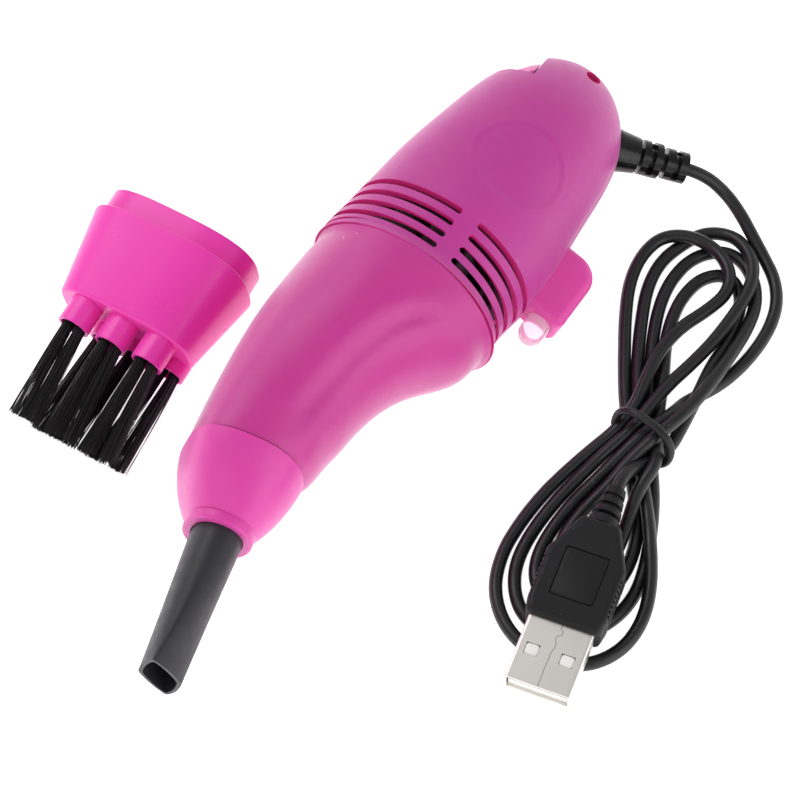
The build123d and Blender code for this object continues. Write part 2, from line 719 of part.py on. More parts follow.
with BuildPart() as motor_shaft:
    with BuildSketch(square_to_axis(can_end + 2.0, SPIGOT_OFFSET)):
        Circle(SHAFT_DIAMETER / 2)
    extrude(amount=can_end + 2.0 - SHAFT_START)
finish(motor_shaft, "motor_shaft")

# The plate in front of the fan, with its round eye.
with BuildPart() as fan_shroud:
    with BuildSketch(square_to_axis(SHROUD_STATION + SHROUD_THICKNESS, SPIGOT_OFFSET)):
        Circle(SPIGOT_RADIUS - SPIGOT_WALL)
        Circle(EYE_DIAMETER / 2, mode=Mode.SUBTRACT)
    extrude(amount=SHROUD_THICKNESS)
finish(fan_shroud, "fan_shroud")

# The fan: a disc carrying swept-back blades, open towards the cup.
fan_back = FAN_START + FAN_BLADE_HEIGHT + FAN_DISC
with BuildPart() as impeller:
    with BuildSketch(square_to_axis(fan_back, SPIGOT_OFFSET)):
        Circle(FAN_RADIUS)
    extrude(amount=FAN_DISC)
    with BuildSketch(square_to_axis(fan_back - FAN_DISC, SPIGOT_OFFSET)) as blade_section:
        with BuildLine() as blade_line:
            for blade in range(FAN_BLADES):
                turn = 360 / FAN_BLADES * blade
                ThreePointArc(
                    Vector(HUB_DIAMETER / 2 - 0.2, 0).rotate(Axis.Z, turn),
                    Vector(9.6, 0).rotate(Axis.Z, turn + 13),
                    Vector(FAN_RADIUS - 0.5, 0).rotate(Axis.Z, turn + 38),
                )
        trace(blade_line.edges(), BLADE_THICKNESS)
    extrude(amount=FAN_BLADE_HEIGHT)
    with BuildSketch(square_to_axis(fan_back - FAN_DISC, SPIGOT_OFFSET)):
        Circle(HUB_DIAMETER / 2)
    extrude(amount=FAN_BLADE_HEIGHT)
    with BuildSketch(square_to_axis(fan_back, SPIGOT_OFFSET)):
        Circle(SHAFT_DIAMETER / 2)
    extrude(amount=fan_back, mode=Mode.SUBTRACT)
finish(impeller, "impeller")

# ---------------------------------------------------------------- switch
with BuildPart() as button_form:
    housing_form(BUTTON_SHRINK, HOUSING_LENGTH)
with BuildPart() as switch_button:
    add(button_form.part)
    button_start = STEP_STATION + BUTTON_GAP
    with BuildSketch(beside(-BUTTON_HALF_WIDTH)):
        with Locations((STEP_LEVEL - BUTTON_GAP, button_start)):
            Rectangle(20, BUTTON_END - button_start, align=(Align.MAX, Align.MIN))
    extrude(amount=2 * BUTTON_HALF_WIDTH, mode=Mode.INTERSECT)
    with BuildSketch(beside(-STEM_WIDTH / 2)):
        with Locations((STEP_LEVEL - BUTTON_GAP - 1, STEM_STATION)):
            Rectangle(STEM_DEPTH + BUTTON_GAP + 1, STEM_LENGTH, align=(Align.MIN, Align.MIN))
    extrude(amount=STEM_WIDTH)
finish(switch_button, "switch_button")

with BuildPart() as switch_body:
    with BuildSketch(beside(-switch_wide / 2)):
        with Locations((switch_top, stem_slot_start + stem_slot_length / 2)):
            Rectangle(switch_deep, switch_long, align=(Align.MIN, Align.CENTER))
    extrude(amount=switch_wide)
    with BuildSketch(beside(-STEM_WIDTH / 2 - STEM_CLEARANCE)):
        with Locations((switch_top, stem_slot_start)):
            Rectangle(1.6, stem_slot_length, align=(Align.MIN, Align.MIN))
    extrude(amount=STEM_WIDTH + 2 * STEM_CLEARANCE, mode=Mode.SUBTRACT)
finish(switch_body, "switch_body")

# ---------------------------------------------------------------- lamp
with BuildPart() as lamp_pod:
    with BuildSketch(beside(-POD_HALF_WIDTH)) as pod_outline:
        with BuildLine():
            Polyline(
                (10.0, POD_START + 1.2),
                (POD_REACH - 0.1, POD_START + 0.4),
                (POD_REACH, POD_END - 0.3),
                (10.0, POD_END + 0.2),
                close=True,
            )
        make_face()
        pod_across = Axis((0, 0, 0), lying.x_dir)
        fillet(pod_outline.vertices().sort_by(pod_across)[-2:].sort_by(Axis.Y)[0], POD_FRONT_ROUND)
        fillet(pod_outline.vertices().sort_by(pod_across)[-1], POD_ROUND)
    extrude(amount=2 * POD_HALF_WIDTH)
    fillet(lamp_pod.edges().filter_by(lambda edge: edge.length > 3 and edge.center().Z > 0), POD_EDGE)
    add(housing_solid.part, mode=Mode.SUBTRACT)
    # Bore for the lamp, from the front, with room for its leads.
    with BuildSketch(square_to_axis(LAMP_BODY_END + LEAD_LENGTH + 1, LAMP_LEVEL)):
        Circle(LAMP_DIAMETER / 2 + LAMP_GAP)
    extrude(amount=step_reach, mode=Mode.SUBTRACT)
finish(lamp_pod, "lamp_pod")

with BuildPart() as lamp:
    with BuildSketch(square_to_axis(LAMP_BODY_END, LAMP_LEVEL)):
        Circle(LAMP_DIAMETER / 2 + LAMP_GAP)
    extrude(amount=1.0)
    with BuildSketch(square_to_axis(LAMP_BODY_END, LAMP_LEVEL)):
        Circle(LAMP_DIAMETER / 2)
    extrude(amount=LAMP_BODY_END - LAMP_FRONT + LAMP_DIAMETER / 2)
    fillet(lamp.edges().sort_by(fan_axis)[0], LAMP_DIAMETER / 2 - 0.02)
finish(lamp, "lamp")

with BuildPart() as lamp_leads:
    with BuildSketch(square_to_axis(LAMP_BODY_END + LEAD_LENGTH, LAMP_LEVEL)):
        with Locations((0, LEAD_SPACING / 2), (0, -LEAD_SPACING / 2)):
            Rectangle(LEAD_SIDE, LEAD_SIDE)
    extrude(amount=LEAD_LENGTH)
finish(lamp_leads, "lamp_leads")

# ---------------------------------------------------------------- screws
with BuildPart() as housing_screws:
    with BuildSketch(beside(SCREW_REACH - 0.6)):
        for station, shift in SCREW_SPOTS:
            with Locations((shift, station)):
                Circle(SCREW_DIAMETER / 2)
    extrude(amount=-(SCREW_REACH - 0.6 + SCREW_SEAT))
    with BuildSketch(beside(-SCREW_SEAT)):
        for station, shift in SCREW_SPOTS:
            with Locations((shift, station)):
                Circle(SCREW_HEAD / 2)
    extrude(amount=-SCREW_HEAD_HEIGHT)
finish(housing_screws, "housing_screws")

# ---------------------------------------------------------------- strain relief
# Rings along the relief, each with a slot half round it: start, end and diameter.
RELIEF_RINGS = ((4.9, 8.7, 6.8), (9.7, RELIEF_LENGTH, RELIEF_TIP))
with BuildPart() as strain_relief:
    with BuildSketch(relief.offset(-RELIEF_SEAT)):
        Circle(RELIEF_ROOT / 2)
    extrude(amount=RELIEF_SEAT)
    with BuildSketch(relief.offset(-RELIEF_SEAT)):
        Circle(RELIEF_ROOT / 2 + RELIEF_LIP)
    extrude(amount=-RELIEF_FLANGE)
    with BuildSketch(relief):
        Circle(RELIEF_ROOT / 2)
    with BuildSketch(relief.offset(RELIEF_TAPER_LENGTH)):
        Circle(RELIEF_TAPER_TIP / 2)
    loft()
    with BuildSketch(relief):
        Circle(RELIEF_CORE / 2)
    extrude(amount=RELIEF_LENGTH)
    for start, end, diameter in RELIEF_RINGS:
        with BuildSketch(relief.offset(start)):
            Circle(diameter / 2)
        extrude(amount=end - start)
        with BuildSketch(relief.offset((start + end - RELIEF_SLOT) / 2)):
            Circle(diameter)
            Circle(RELIEF_CORE / 2 + 0.2, mode=Mode.SUBTRACT)
            with Locations((-diameter, 0)):
                Rectangle(2 * diameter, 2 * diameter, mode=Mode.SUBTRACT)
        extrude(amount=RELIEF_SLOT, mode=Mode.SUBTRACT)
finish(strain_relief, "strain_relief")

# ---------------------------------------------------------------- hank
# The hank: a figure of eight, as one solid of its outer shape.
with BuildPart() as hank_form:
    for centre, height in ((HANK_UPPER, HANK_HEIGHT), (HANK_LOWER, HANK_LOW_HEIGHT)):
        with BuildSketch():
            with Locations(centre):
                Circle(HANK_LOBE)
            with Locations(HANK_TIE):
                Circle(HANK_WAIST)
            make_hull()
        extrude(amount=height)
    # The waist, where the strands cross under the tie.
    with BuildSketch():
        with Locations(HANK_TIE):
            Ellipse(HANK_WAIST, HANK_WAIST_LENGTH / 2)
    extrude(amount=HANK_WAIST_HEIGHT)
    for centre in (HANK_UPPER, HANK_LOWER):
        eye_tip = Vector(centre) + (Vector(HANK_TIE) - Vector(centre)) * 0.5
        with BuildSketch():
            with Locations(centre):
                Circle(HANK_EYE)
            with Locations(eye_tip):
                Circle(HANK_EYE / 4)
            make_hull()
        extrude(amount=HANK_HEIGHT, mode=Mode.SUBTRACT)

tie_plane = Plane(origin=(*HANK_TIE, 0), x_dir=(1, 0, 0), z_dir=(0, -1, 0))
tie_inner_height = HANK_WAIST_HEIGHT - TIE_THICKNESS
tie_outer_height = HANK_WAIST_HEIGHT + TIE_THICKNESS
with BuildPart() as tie_strap:
    with BuildSketch(tie_plane):
        with Locations((0, tie_outer_height / 2)):
            RectangleRounded(2 * (HANK_WAIST + TIE_THICKNESS), tie_outer_height, TIE_ROUND + TIE_THICKNESS)
            RectangleRounded(2 * HANK_WAIST, tie_inner_height, TIE_ROUND, mode=Mode.SUBTRACT)
    extrude(amount=TIE_WIDTH / 2, both=True)
finish(tie_strap, "cord_tie")

with BuildPart() as cord_hank:
    add(hank_form.part)
    with BuildSketch(tie_plane):
        Rectangle(8 * HANK_WAIST, 4 * HANK_WAIST)
        with Locations((0, tie_outer_height / 2)):
            RectangleRounded(2 * HANK_WAIST, tie_inner_height, TIE_ROUND, mode=Mode.SUBTRACT)
    extrude(amount=TIE_WIDTH / 2, both=True, mode=Mode.SUBTRACT)
finish(cord_hank, "cord_hank")

# ---------------------------------------------------------------- cord to the hank
cord_exit = relief.offset(RELIEF_LENGTH).origin
CORD_ROUTE = (
    cord_exit,
    cord_exit + relief_way * 4.0,
    (53.3, 73.2, 6.6),
    (56.7, 71.2, 3.2),
    (58.7, 68.0, 1.5),
)


def bend_radii(route):
    """The radius at each corner of a route: as large as its two runs allow."""
    points = [Vector(point) for point in route]
    radii = []
    for before, corner, after in zip(points, points[1:], points[2:]):
        turn = (corner - before).get_angle(after - corner)
        shorter = min((corner - before).length, (after - corner).length)
        radii.append(0.45 * shorter / math.tan(math.radians(turn / 2)))
    return radii


cord_radii = bend_radii(CORD_ROUTE)
with BuildPart() as power_cord:
    with BuildLine() as cord_path:
        FilletPolyline(*CORD_ROUTE, radius=cord_radii)
    with BuildSketch(Plane(origin=cord_path.line @ 0, z_dir=cord_path.line % 0)):
        Circle(CORD_DIAMETER / 2)
    sweep(path=cord_path.wires()[0])
    add(cord_hank.part, mode=Mode.SUBTRACT)
finish(power_cord, "power_cord")
print("power_cord radii", [round(radius, 1) for radius in cord_radii])

# ---------------------------------------------------------------- plug
plug_turn, plug_dip = math.radians(PLUG_TURN), math.radians(PLUG_DIP)
plug_way = Vector(
    math.sin(plug_turn) * math.cos(plug_dip),
    -math.cos(plug_turn) * math.cos(plug_dip),
    -math.sin(plug_dip),
)
plug = Plane(
    origin=(*PLUG_SPOT, HANK_LOW_HEIGHT + 0.1 + PLUG_GRIP_THICKNESS / 2 / math.cos(plug_dip)),
    x_dir=(math.cos(plug_turn), math.sin(plug_turn), 0),
    z_dir=plug_way,
)

with BuildPart() as plug_shell:
    with BuildSketch(plug.offset(-PLUG_INSIDE)):
        RectangleRounded(PLUG_WIDTH, PLUG_THICKNESS, 0.5)
    extrude(amount=PLUG_EXPOSED + PLUG_INSIDE)
    with BuildSketch(plug.offset(-PLUG_INSIDE)):
        RectangleRounded(PLUG_WIDTH - 2 * PLUG_SHEET, PLUG_THICKNESS - 2 * PLUG_SHEET, 0.2)
    extrude(amount=PLUG_EXPOSED + PLUG_INSIDE, mode=Mode.SUBTRACT)
    # Latch windows in both broad faces.
    latch_plane = Plane(origin=plug.origin, x_dir=plug.x_dir, z_dir=plug.y_dir)
    with BuildSketch(latch_plane.offset(-PLUG_THICKNESS)):
        for across in (-WINDOW_SPACING / 2, WINDOW_SPACING / 2):
            with Locations((across, -(PLUG_EXPOSED - WINDOW_FROM_TIP))):
                Rectangle(*WINDOW_SIZE)
    extrude(amount=2 * PLUG_THICKNESS, mode=Mode.SUBTRACT)
finish(plug_shell, "plug_shell")

with BuildPart() as plug_tongue:
    with BuildSketch(plug.offset(-PLUG_INSIDE)):
        with Locations((0, -PLUG_THICKNESS / 2 + PLUG_SHEET + TONGUE_THICKNESS / 2)):
            Rectangle(TONGUE_WIDTH, TONGUE_THICKNESS)
    extrude(amount=PLUG_INSIDE + PLUG_EXPOSED - TONGUE_SETBACK)
finish(plug_tongue, "plug_tongue")

with BuildPart() as plug_contacts:
    with BuildSketch(plug):
        for across in CONTACT_PLACES:
            with Locations((across, -PLUG_THICKNESS / 2 + PLUG_SHEET + TONGUE_THICKNESS)):
                Rectangle(CONTACT_WIDTH, CONTACT_THICKNESS, align=(Align.CENTER, Align.MIN))
    extrude(amount=PLUG_EXPOSED - TONGUE_SETBACK - 0.6)
finish(plug_contacts, "plug_contacts")

with BuildPart() as plug_grip:
    with BuildSketch(latch_plane.offset(-PLUG_GRIP_THICKNESS / 2)):
        with BuildLine():
            Polyline(
                (-GRIP_FRONT / 2, 0),
                (GRIP_FRONT / 2, 0),
                (GRIP_WIDEST / 2, 3.0),
                (GRIP_WIDEST / 2, 13.0),
                (GRIP_REAR / 2, PLUG_GRIP_LENGTH),
                (-GRIP_REAR / 2, PLUG_GRIP_LENGTH),
                (-GRIP_WIDEST / 2, 13.0),
                (-GRIP_WIDEST / 2, 3.0),
                close=True,
            )
        make_face()
    extrude(amount=PLUG_GRIP_THICKNESS)
    fillet(plug_grip.edges().filter_by(lambda edge: edge.length > 2), GRIP_ROUND)
    # The boot behind the grip, a cone with ring grooves.
    with BuildSketch(plug.offset(-PLUG_GRIP_LENGTH)):
        Circle(BOOT_ROOT / 2)
    with BuildSketch(plug.offset(-PLUG_GRIP_LENGTH - PLUG_BOOT_LENGTH)):
        Circle(BOOT_TIP / 2)
    loft()
    for ring in range(BOOT_RINGS):
        with BuildSketch(plug.offset(-PLUG_GRIP_LENGTH - 1.6 - ring * 2.0)):
            Circle(BOOT_ROOT)
            Circle(BOOT_TIP / 2 - 0.2, mode=Mode.SUBTRACT)
        extrude(amount=-0.8, mode=Mode.SUBTRACT)
    # Pocket for the shell's root and a shallow square panel on the upper face.
    with BuildSketch(plug):
        RectangleRounded(PLUG_WIDTH, PLUG_THICKNESS, 0.5)
    extrude(amount=-PLUG_INSIDE, mode=Mode.SUBTRACT)
    with BuildSketch(latch_plane.offset(PLUG_GRIP_THICKNESS / 2 - PANEL_DEPTH)):
        with Locations((0, PANEL_FROM_FRONT)):
            RectangleRounded(*PANEL_SIZE, PANEL_ROUND)
    extrude(amount=PANEL_DEPTH + 1, mode=Mode.SUBTRACT)
    # Fine ribs on both flanks.
    with BuildSketch(latch_plane.offset(-PLUG_GRIP_THICKNESS / 2)):
        for rib in range(RIB_COUNT):
            for side in (1, -1):
                with Locations((side * GRIP_WIDEST / 2, RIB_START + rib * RIB_PITCH)):
                    Rectangle(2 * RIB_DEPTH, RIB_WIDTH)
    extrude(amount=PLUG_GRIP_THICKNESS, mode=Mode.SUBTRACT)
finish(plug_grip, "plug_grip")

# ---------------------------------------------------------------- the cord's end, from the hank to the plug
plug_exit = plug.origin - plug_way * (PLUG_GRIP_LENGTH + PLUG_BOOT_LENGTH)
CORD_END_ROUTE = (
    plug_exit,
    plug_exit - plug_way * 3.4,
    (65.4, 14.2, 5.0),
    (65.3, 18.6, 4.2),
)
end_radii = bend_radii(CORD_END_ROUTE)
with BuildPart() as cord_end:
    with BuildLine() as end_path:
        FilletPolyline(*CORD_END_ROUTE, radius=end_radii)
    with BuildSketch(Plane(origin=end_path.line @ 0, z_dir=end_path.line % 0)):
        Circle(CORD_DIAMETER / 2)
    sweep(path=end_path.wires()[0])
    add(cord_hank.part, mode=Mode.SUBTRACT)
    add(tie_strap.part, mode=Mode.SUBTRACT)
finish(cord_end, "cord_end")
print("cord_end radii", [round(radius, 1) for radius in end_radii])

# ---------------------------------------------------------------- brush head
tuft_low = FERRULE_ROW + TUFT_DIAMETER / 2
brush_length = BRUSH_SKIRT_HEIGHT + FERRULE_LENGTH + TUFT_LENGTH
brush_dip = math.atan2(BRUSH_HALF_DEEP - tuft_low, brush_length)
brush_turn = math.radians(BRUSH_YAW)
brush_way = Vector(
    math.sin(brush_turn) * math.cos(brush_dip),
    -math.cos(brush_turn) * math.cos(brush_dip),
    -math.sin(brush_dip),
)
brush_across = Vector(math.cos(brush_turn), math.sin(brush_turn), 0)
brush = Plane(
    origin=(BRUSH_X, BRUSH_Y, BRUSH_HALF_DEEP * math.cos(brush_dip)),
    x_dir=brush_across.cross(brush_way),
    z_dir=brush_way,
)
tuft_rows = (
    ("front_tufts", [(-FERRULE_ROW, across) for across in FRONT_ROW], FERRULE_LENGTH),
    ("back_tufts", [(FERRULE_ROW, across) for across in BACK_ROW], BACK_FERRULE_LENGTH),
)

socket_inset = NECK_INSET - NECK_GAP
with BuildPart() as brush_body:
    with BuildSketch(brush):
        egg(BRUSH_HALF_DEEP, BRUSH_HALF_DEEP, BRUSH_HALF_WIDE, *BRUSH_SQUARES)
    with BuildSketch(brush.offset(BRUSH_SKIRT_HEIGHT)):
        egg(BRUSH_FOOT_HALF_DEEP, BRUSH_FOOT_HALF_DEEP, BRUSH_FOOT_HALF_WIDE, *BRUSH_SQUARES)
    loft()
    fillet(brush_body.edges().sort_by(Axis(brush.origin, brush.z_dir))[-1], BRUSH_FOOT_ROUND)
    fillet(brush_body.edges().sort_by(Axis(brush.origin, brush.z_dir))[0], BRUSH_EDGE_ROUND)
    with BuildSketch(brush.offset(2)):
        collar_deep, collar_wide = BRUSH_COLLAR
        egg(collar_deep, collar_deep, collar_wide, *BRUSH_SQUARES)
    extrude(amount=-BRUSH_COLLAR_HEIGHT - 2)
    # The socket for the neck of the cup, then the hollow down to the foot.
    with BuildSketch(brush.offset(-BRUSH_COLLAR_HEIGHT - 1)):
        mouth_egg(socket_inset)
    extrude(amount=NECK_LENGTH + NECK_GAP + 1, mode=Mode.SUBTRACT)
    with BuildSketch(brush.offset(NECK_LENGTH - BRUSH_COLLAR_HEIGHT)):
        mouth_egg(socket_inset + 0.4)
    with BuildSketch(brush.offset(BRUSH_SKIRT_HEIGHT - BRUSH_WALL)):
        egg(
            BRUSH_FOOT_HALF_DEEP - BRUSH_WALL, BRUSH_FOOT_HALF_DEEP - BRUSH_WALL,
            BRUSH_FOOT_HALF_WIDE - BRUSH_WALL, *BRUSH_SQUARES,
        )
    loft(mode=Mode.SUBTRACT)
    # Ferrules that grip the tufts, shorter in the back row.
    for name, spots, ferrule_length in tuft_rows:
        with BuildSketch(brush.offset(BRUSH_SKIRT_HEIGHT - BRUSH_WALL / 2)):
            with Locations(*spots):
                Circle(FERRULE_DIAMETER / 2)
        extrude(amount=ferrule_length + BRUSH_WALL / 2)
        with BuildSketch(brush.offset(BRUSH_SKIRT_HEIGHT + ferrule_length - FERRULE_GRIP)):
            with Locations(*spots):
                Circle(TUFT_DIAMETER / 2)
        extrude(amount=FERRULE_GRIP, mode=Mode.SUBTRACT)
finish(brush_body, "brush_body")

for name, spots, ferrule_length in tuft_rows:
    with BuildPart() as tufts:
        with BuildSketch(brush.offset(BRUSH_SKIRT_HEIGHT + ferrule_length - FERRULE_GRIP)):
            with Locations(*spots):
                Circle(TUFT_DIAMETER / 2)
        extrude(amount=FERRULE_GRIP + FERRULE_LENGTH - ferrule_length + TUFT_LENGTH)
    finish(tufts, name)
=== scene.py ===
import math
import random

import bmesh
import bpy
import numpy as np
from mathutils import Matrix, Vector


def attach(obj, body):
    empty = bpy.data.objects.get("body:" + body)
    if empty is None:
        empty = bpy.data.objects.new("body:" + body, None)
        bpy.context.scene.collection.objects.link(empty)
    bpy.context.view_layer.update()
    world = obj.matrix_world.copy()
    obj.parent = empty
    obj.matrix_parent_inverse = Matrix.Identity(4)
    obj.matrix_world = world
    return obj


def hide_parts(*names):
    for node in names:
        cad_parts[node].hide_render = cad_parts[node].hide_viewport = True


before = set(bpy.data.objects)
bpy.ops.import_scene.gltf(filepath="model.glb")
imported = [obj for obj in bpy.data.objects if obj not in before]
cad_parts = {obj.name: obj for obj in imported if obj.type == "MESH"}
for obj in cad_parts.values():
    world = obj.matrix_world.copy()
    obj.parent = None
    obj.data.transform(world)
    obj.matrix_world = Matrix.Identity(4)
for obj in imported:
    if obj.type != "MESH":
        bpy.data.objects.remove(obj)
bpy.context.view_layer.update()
MM = 0.001

# ---------------------------------------------------------------- where things are, as in the CAD source
ROLL = math.radians(18.0)
AXIS = Vector((16.05, 12.84, 19.3))
OFFSET_WAY = Vector((math.cos(ROLL), 0, -math.sin(ROLL)))
ACROSS_WAY = Vector((math.sin(ROLL), 0, math.cos(ROLL)))
TAIL_WAY = Vector((0, 1, 0))


def dipping(turn, dip):
    """The way towards the front of the bench, turned about the vertical and then dipped."""
    return Vector((math.sin(turn) * math.cos(dip), -math.cos(turn) * math.cos(dip), -math.sin(dip)))


PLUG_TURN = math.radians(11.6)
PLUG_DIP = math.radians(3.5)
HANK_LOW_HEIGHT = 2.7
GRIP_PLAY = 0.1
GRIP_THICKNESS = 7.4
PLUG_SPOT = Vector((72.1, -23.2, HANK_LOW_HEIGHT + GRIP_PLAY + GRIP_THICKNESS / 2 / math.cos(PLUG_DIP)))
PLUG_WAY = dipping(PLUG_TURN, PLUG_DIP)
PLUG_ACROSS = Vector((math.cos(PLUG_TURN), math.sin(PLUG_TURN), 0))
PLUG_UP = PLUG_ACROSS.cross(PLUG_WAY) * -1

BRUSH_YAW = math.radians(2.8)
BRUSH_HALF_DEEP = 12.5
SKIRT_HEIGHT = 17.0
FERRULE_LENGTH = 5.2
BACK_FERRULE_LENGTH = 2.6
TUFT_LENGTH = 18.4
TUFT_LOW = 6.5
BRUSH_DIP = math.atan2(BRUSH_HALF_DEEP - TUFT_LOW, SKIRT_HEIGHT + FERRULE_LENGTH + TUFT_LENGTH)
BRUSH_SPOT = Vector((-26.9, 0.8, BRUSH_HALF_DEEP * math.cos(BRUSH_DIP)))
BRUSH_WAY = dipping(BRUSH_YAW, BRUSH_DIP)
BRUSH_ACROSS = Vector((math.cos(BRUSH_YAW), math.sin(BRUSH_YAW), 0))
BRUSH_DOWN = BRUSH_ACROSS.cross(BRUSH_WAY)

# ---------------------------------------------------------------- camera
CAMERA_AZIMUTH = math.radians(33.0)
CAMERA_ELEVATION = math.radians(59.0)
CAMERA_DISTANCE = 550.0
CAMERA_TARGET = Vector((20.83, 4.185, -0.4))
CAMERA_LENS = 133.65
CAMERA_SENSOR = 36.0

camera_data = bpy.data.cameras.new("camera")
camera_data.lens = CAMERA_LENS
camera_data.sensor_width = CAMERA_SENSOR
camera_data.clip_start = 0.01
camera = bpy.data.objects.new("camera", camera_data)
bpy.context.scene.collection.objects.link(camera)
looking = Vector(
    (
        -math.sin(CAMERA_AZIMUTH) * math.cos(CAMERA_ELEVATION),
        math.cos(CAMERA_AZIMUTH) * math.cos(CAMERA_ELEVATION),
        -math.sin(CAMERA_ELEVATION),
    )
)
camera.location = (CAMERA_TARGET - looking * CAMERA_DISTANCE) * MM
camera.rotation_euler = looking.to_track_quat("-Z", "Y").to_euler()
bpy.context.scene.camera = camera
bpy.context.scene.view_settings.view_transform = "Standard"


# ---------------------------------------------------------------- materials
def tone(red, green, blue, alpha=1.0):
    """A colour given in screen values, as the shaders want it."""
    parts = []
    for value in (red, green, blue):
        value /= 255
        parts.append(value / 12.92 if value <= 0.04045 else ((value + 0.055) / 1.055) ** 2.4)
    return (*parts, alpha)


def blend(start, end, share):
    """A number part of the way from one to another."""
    return start + (end - start) * share


def mixed(colour, other, share):
    """A colour part of the way to another."""
    return tuple(blend(first, second, share) for first, second in zip(colour, other))


WHITE = (1.0, 1.0, 1.0, 1.0)
BLACK = (0.0, 0.0, 0.0, 1.0)
# The stretch in which most values of a noise lie.
NOISE_SPREAD = (0.3, 0.7)
DUST_PATCHES = 190
DUST_PATCH_EDGE = (0.56, 0.62)


class Surface:
    """A node material: a shader, whose inputs are set, and textures in the piece's own coordinates."""

    def __init__(self, name, colour, roughness, **settings):
        self.material = bpy.data.materials.new(name)
        self.material.use_nodes = True
        self.tree = self.material.node_tree
        self.shader = self.tree.nodes["Principled BSDF"]
        self.place = self.add("ShaderNodeTexCoord").outputs["Object"]
        self.colour = colour
        self.shader.inputs["Base Color"].default_value = colour
        self.shader.inputs["Roughness"].default_value = roughness
        for key, value in settings.items():
            self.shader.inputs[key.replace("_", " ")].default_value = value

    def add(self, kind, **settings):
        node = self.tree.nodes.new(kind)
        for key, value in settings.items():
            setattr(node, key, value)
        return node

    def link(self, source, target):
        self.tree.links.new(source, target)

    def stretched(self, stretch, turn):
        node = self.add("ShaderNodeMapping")
        node.inputs["Scale"].default_value = stretch
        node.inputs["Rotation"].default_value = turn
        self.link(self.place, node.inputs["Vector"])
        return node.outputs["Vector"]

    def noise(self, scale, detail=3.0, distortion=0.0, place=None):
        node = self.add("ShaderNodeTexNoise")
        node.inputs["Scale"].default_value = scale
        node.inputs["Detail"].default_value = detail
        node.inputs["Distortion"].default_value = distortion
        self.link(place or self.place, node.inputs["Vector"])
        return node.outputs["Fac"]

    def cells(self, scale, place=None):
        node = self.add("ShaderNodeTexVoronoi")
        node.inputs["Scale"].default_value = scale
        self.link(place or self.place, node.inputs["Vector"])
        return node.outputs["Distance"]

    def between(self, value, low, high, start=0.0, end=1.0):
        node = self.add("ShaderNodeMapRange")
        for key, number in (("From Min", low), ("From Max", high), ("To Min", start), ("To Max", end)):
            node.inputs[key].default_value = number
        self.link(value, node.inputs["Value"])
        return node.outputs["Result"]

    def maths(self, operation, first, second):
        node = self.add("ShaderNodeMath", operation=operation)
        for index, value in enumerate((first, second)):
            if isinstance(value, float):
                node.inputs[index].default_value = value
            else:
                self.link(value, node.inputs[index])
        return node.outputs["Value"]

    def paint(self, amount, colour):
        """Mixes a colour in by an amount that varies over the surface."""
        node = self.add("ShaderNodeMix", data_type="RGBA")
        socket = self.shader.inputs["Base Color"]
        if socket.links:
            self.link(socket.links[0].from_socket, node.inputs["A"])
        else:
            node.inputs["A"].default_value = self.colour
        node.inputs["B"].default_value = colour
        self.link(amount, node.inputs["Factor"])
        self.link(node.outputs["Result"], socket)
        return self

    def clouded(self, colour, amount, scale, detail=3.0, low=0.4, high=0.7, distortion=0.0):
        """Mixes a colour in, up to an amount, in clouds."""
        clouds = self.noise(scale, detail, distortion)
        return self.paint(self.between(clouds, low, high, 0.0, amount), colour)

    def rough(self, value, low, high):
        """The roughness goes from low to high with a value."""
        self.link(self.between(value, *NOISE_SPREAD, low, high), self.shader.inputs["Roughness"])
        return self

    def bump(self, value, distance, strength=1.0):
        """Adds relief, its depth in millimetres."""
        node = self.add("ShaderNodeBump")
        node.inputs["Strength"].default_value = strength
        node.inputs["Distance"].default_value = distance * MM
        self.link(value, node.inputs["Height"])
        socket = self.shader.inputs["Normal"]
        if socket.links:
            self.link(socket.links[0].from_socket, node.inputs["Normal"])
        self.link(node.outputs["Normal"], socket)
        return self

    def along(self, way, start):
        """How far a point is from a start along a way, in metres."""
        shifted = self.add("ShaderNodeVectorMath", operation="SUBTRACT")
        self.link(self.place, shifted.inputs[0])
        shifted.inputs[1].default_value = start * MM
        node = self.add("ShaderNodeVectorMath", operation="DOT_PRODUCT")
        self.link(shifted.outputs["Vector"], node.inputs[0])
        node.inputs[1].default_value = way
        return node.outputs["Value"]

    def from_spot(self, station, offset):
        """The distance from a line that crosses the cleaner's axis plane at a spot, in metres."""
        first = self.along(TAIL_WAY, AXIS + TAIL_WAY * station)
        second = self.along(OFFSET_WAY, AXIS + OFFSET_WAY * offset)
        squares = [self.maths("MULTIPLY", value, value) for value in (first, second)]
        return self.maths("SQRT", self.maths("ADD", *squares), 0.0)

    def outward(self):
        """How much the surface faces away from the cleaner's axis."""
        shifted = self.add("ShaderNodeVectorMath", operation="SUBTRACT")
        self.link(self.place, shifted.inputs[0])
        shifted.inputs[1].default_value = AXIS * MM
        flat = self.add("ShaderNodeVectorMath", operation="MULTIPLY")
        self.link(shifted.outputs["Vector"], flat.inputs[0])
        flat.inputs[1].default_value = (1.0, 0.0, 1.0)
        radial = self.add("ShaderNodeVectorMath", operation="NORMALIZE")
        self.link(flat.outputs["Vector"], radial.inputs[0])
        node = self.add("ShaderNodeVectorMath", operation="DOT_PRODUCT")
        self.link(radial.outputs["Vector"], node.inputs[0])
        self.link(self.add("ShaderNodeNewGeometry").outputs["Normal"], node.inputs[1])
        return node.outputs["Value"]

    def painted_glow(self, amount, colour, strength):
        """Painted light standing in for light through thin plastic: a colour and an emission, by an amount
        that varies over the surface.
        """
        self.paint(amount, colour)
        self.shader.inputs["Emission Color"].default_value = colour
        self.link(self.maths("MULTIPLY", amount, strength), self.shader.inputs["Emission Strength"])
        return self

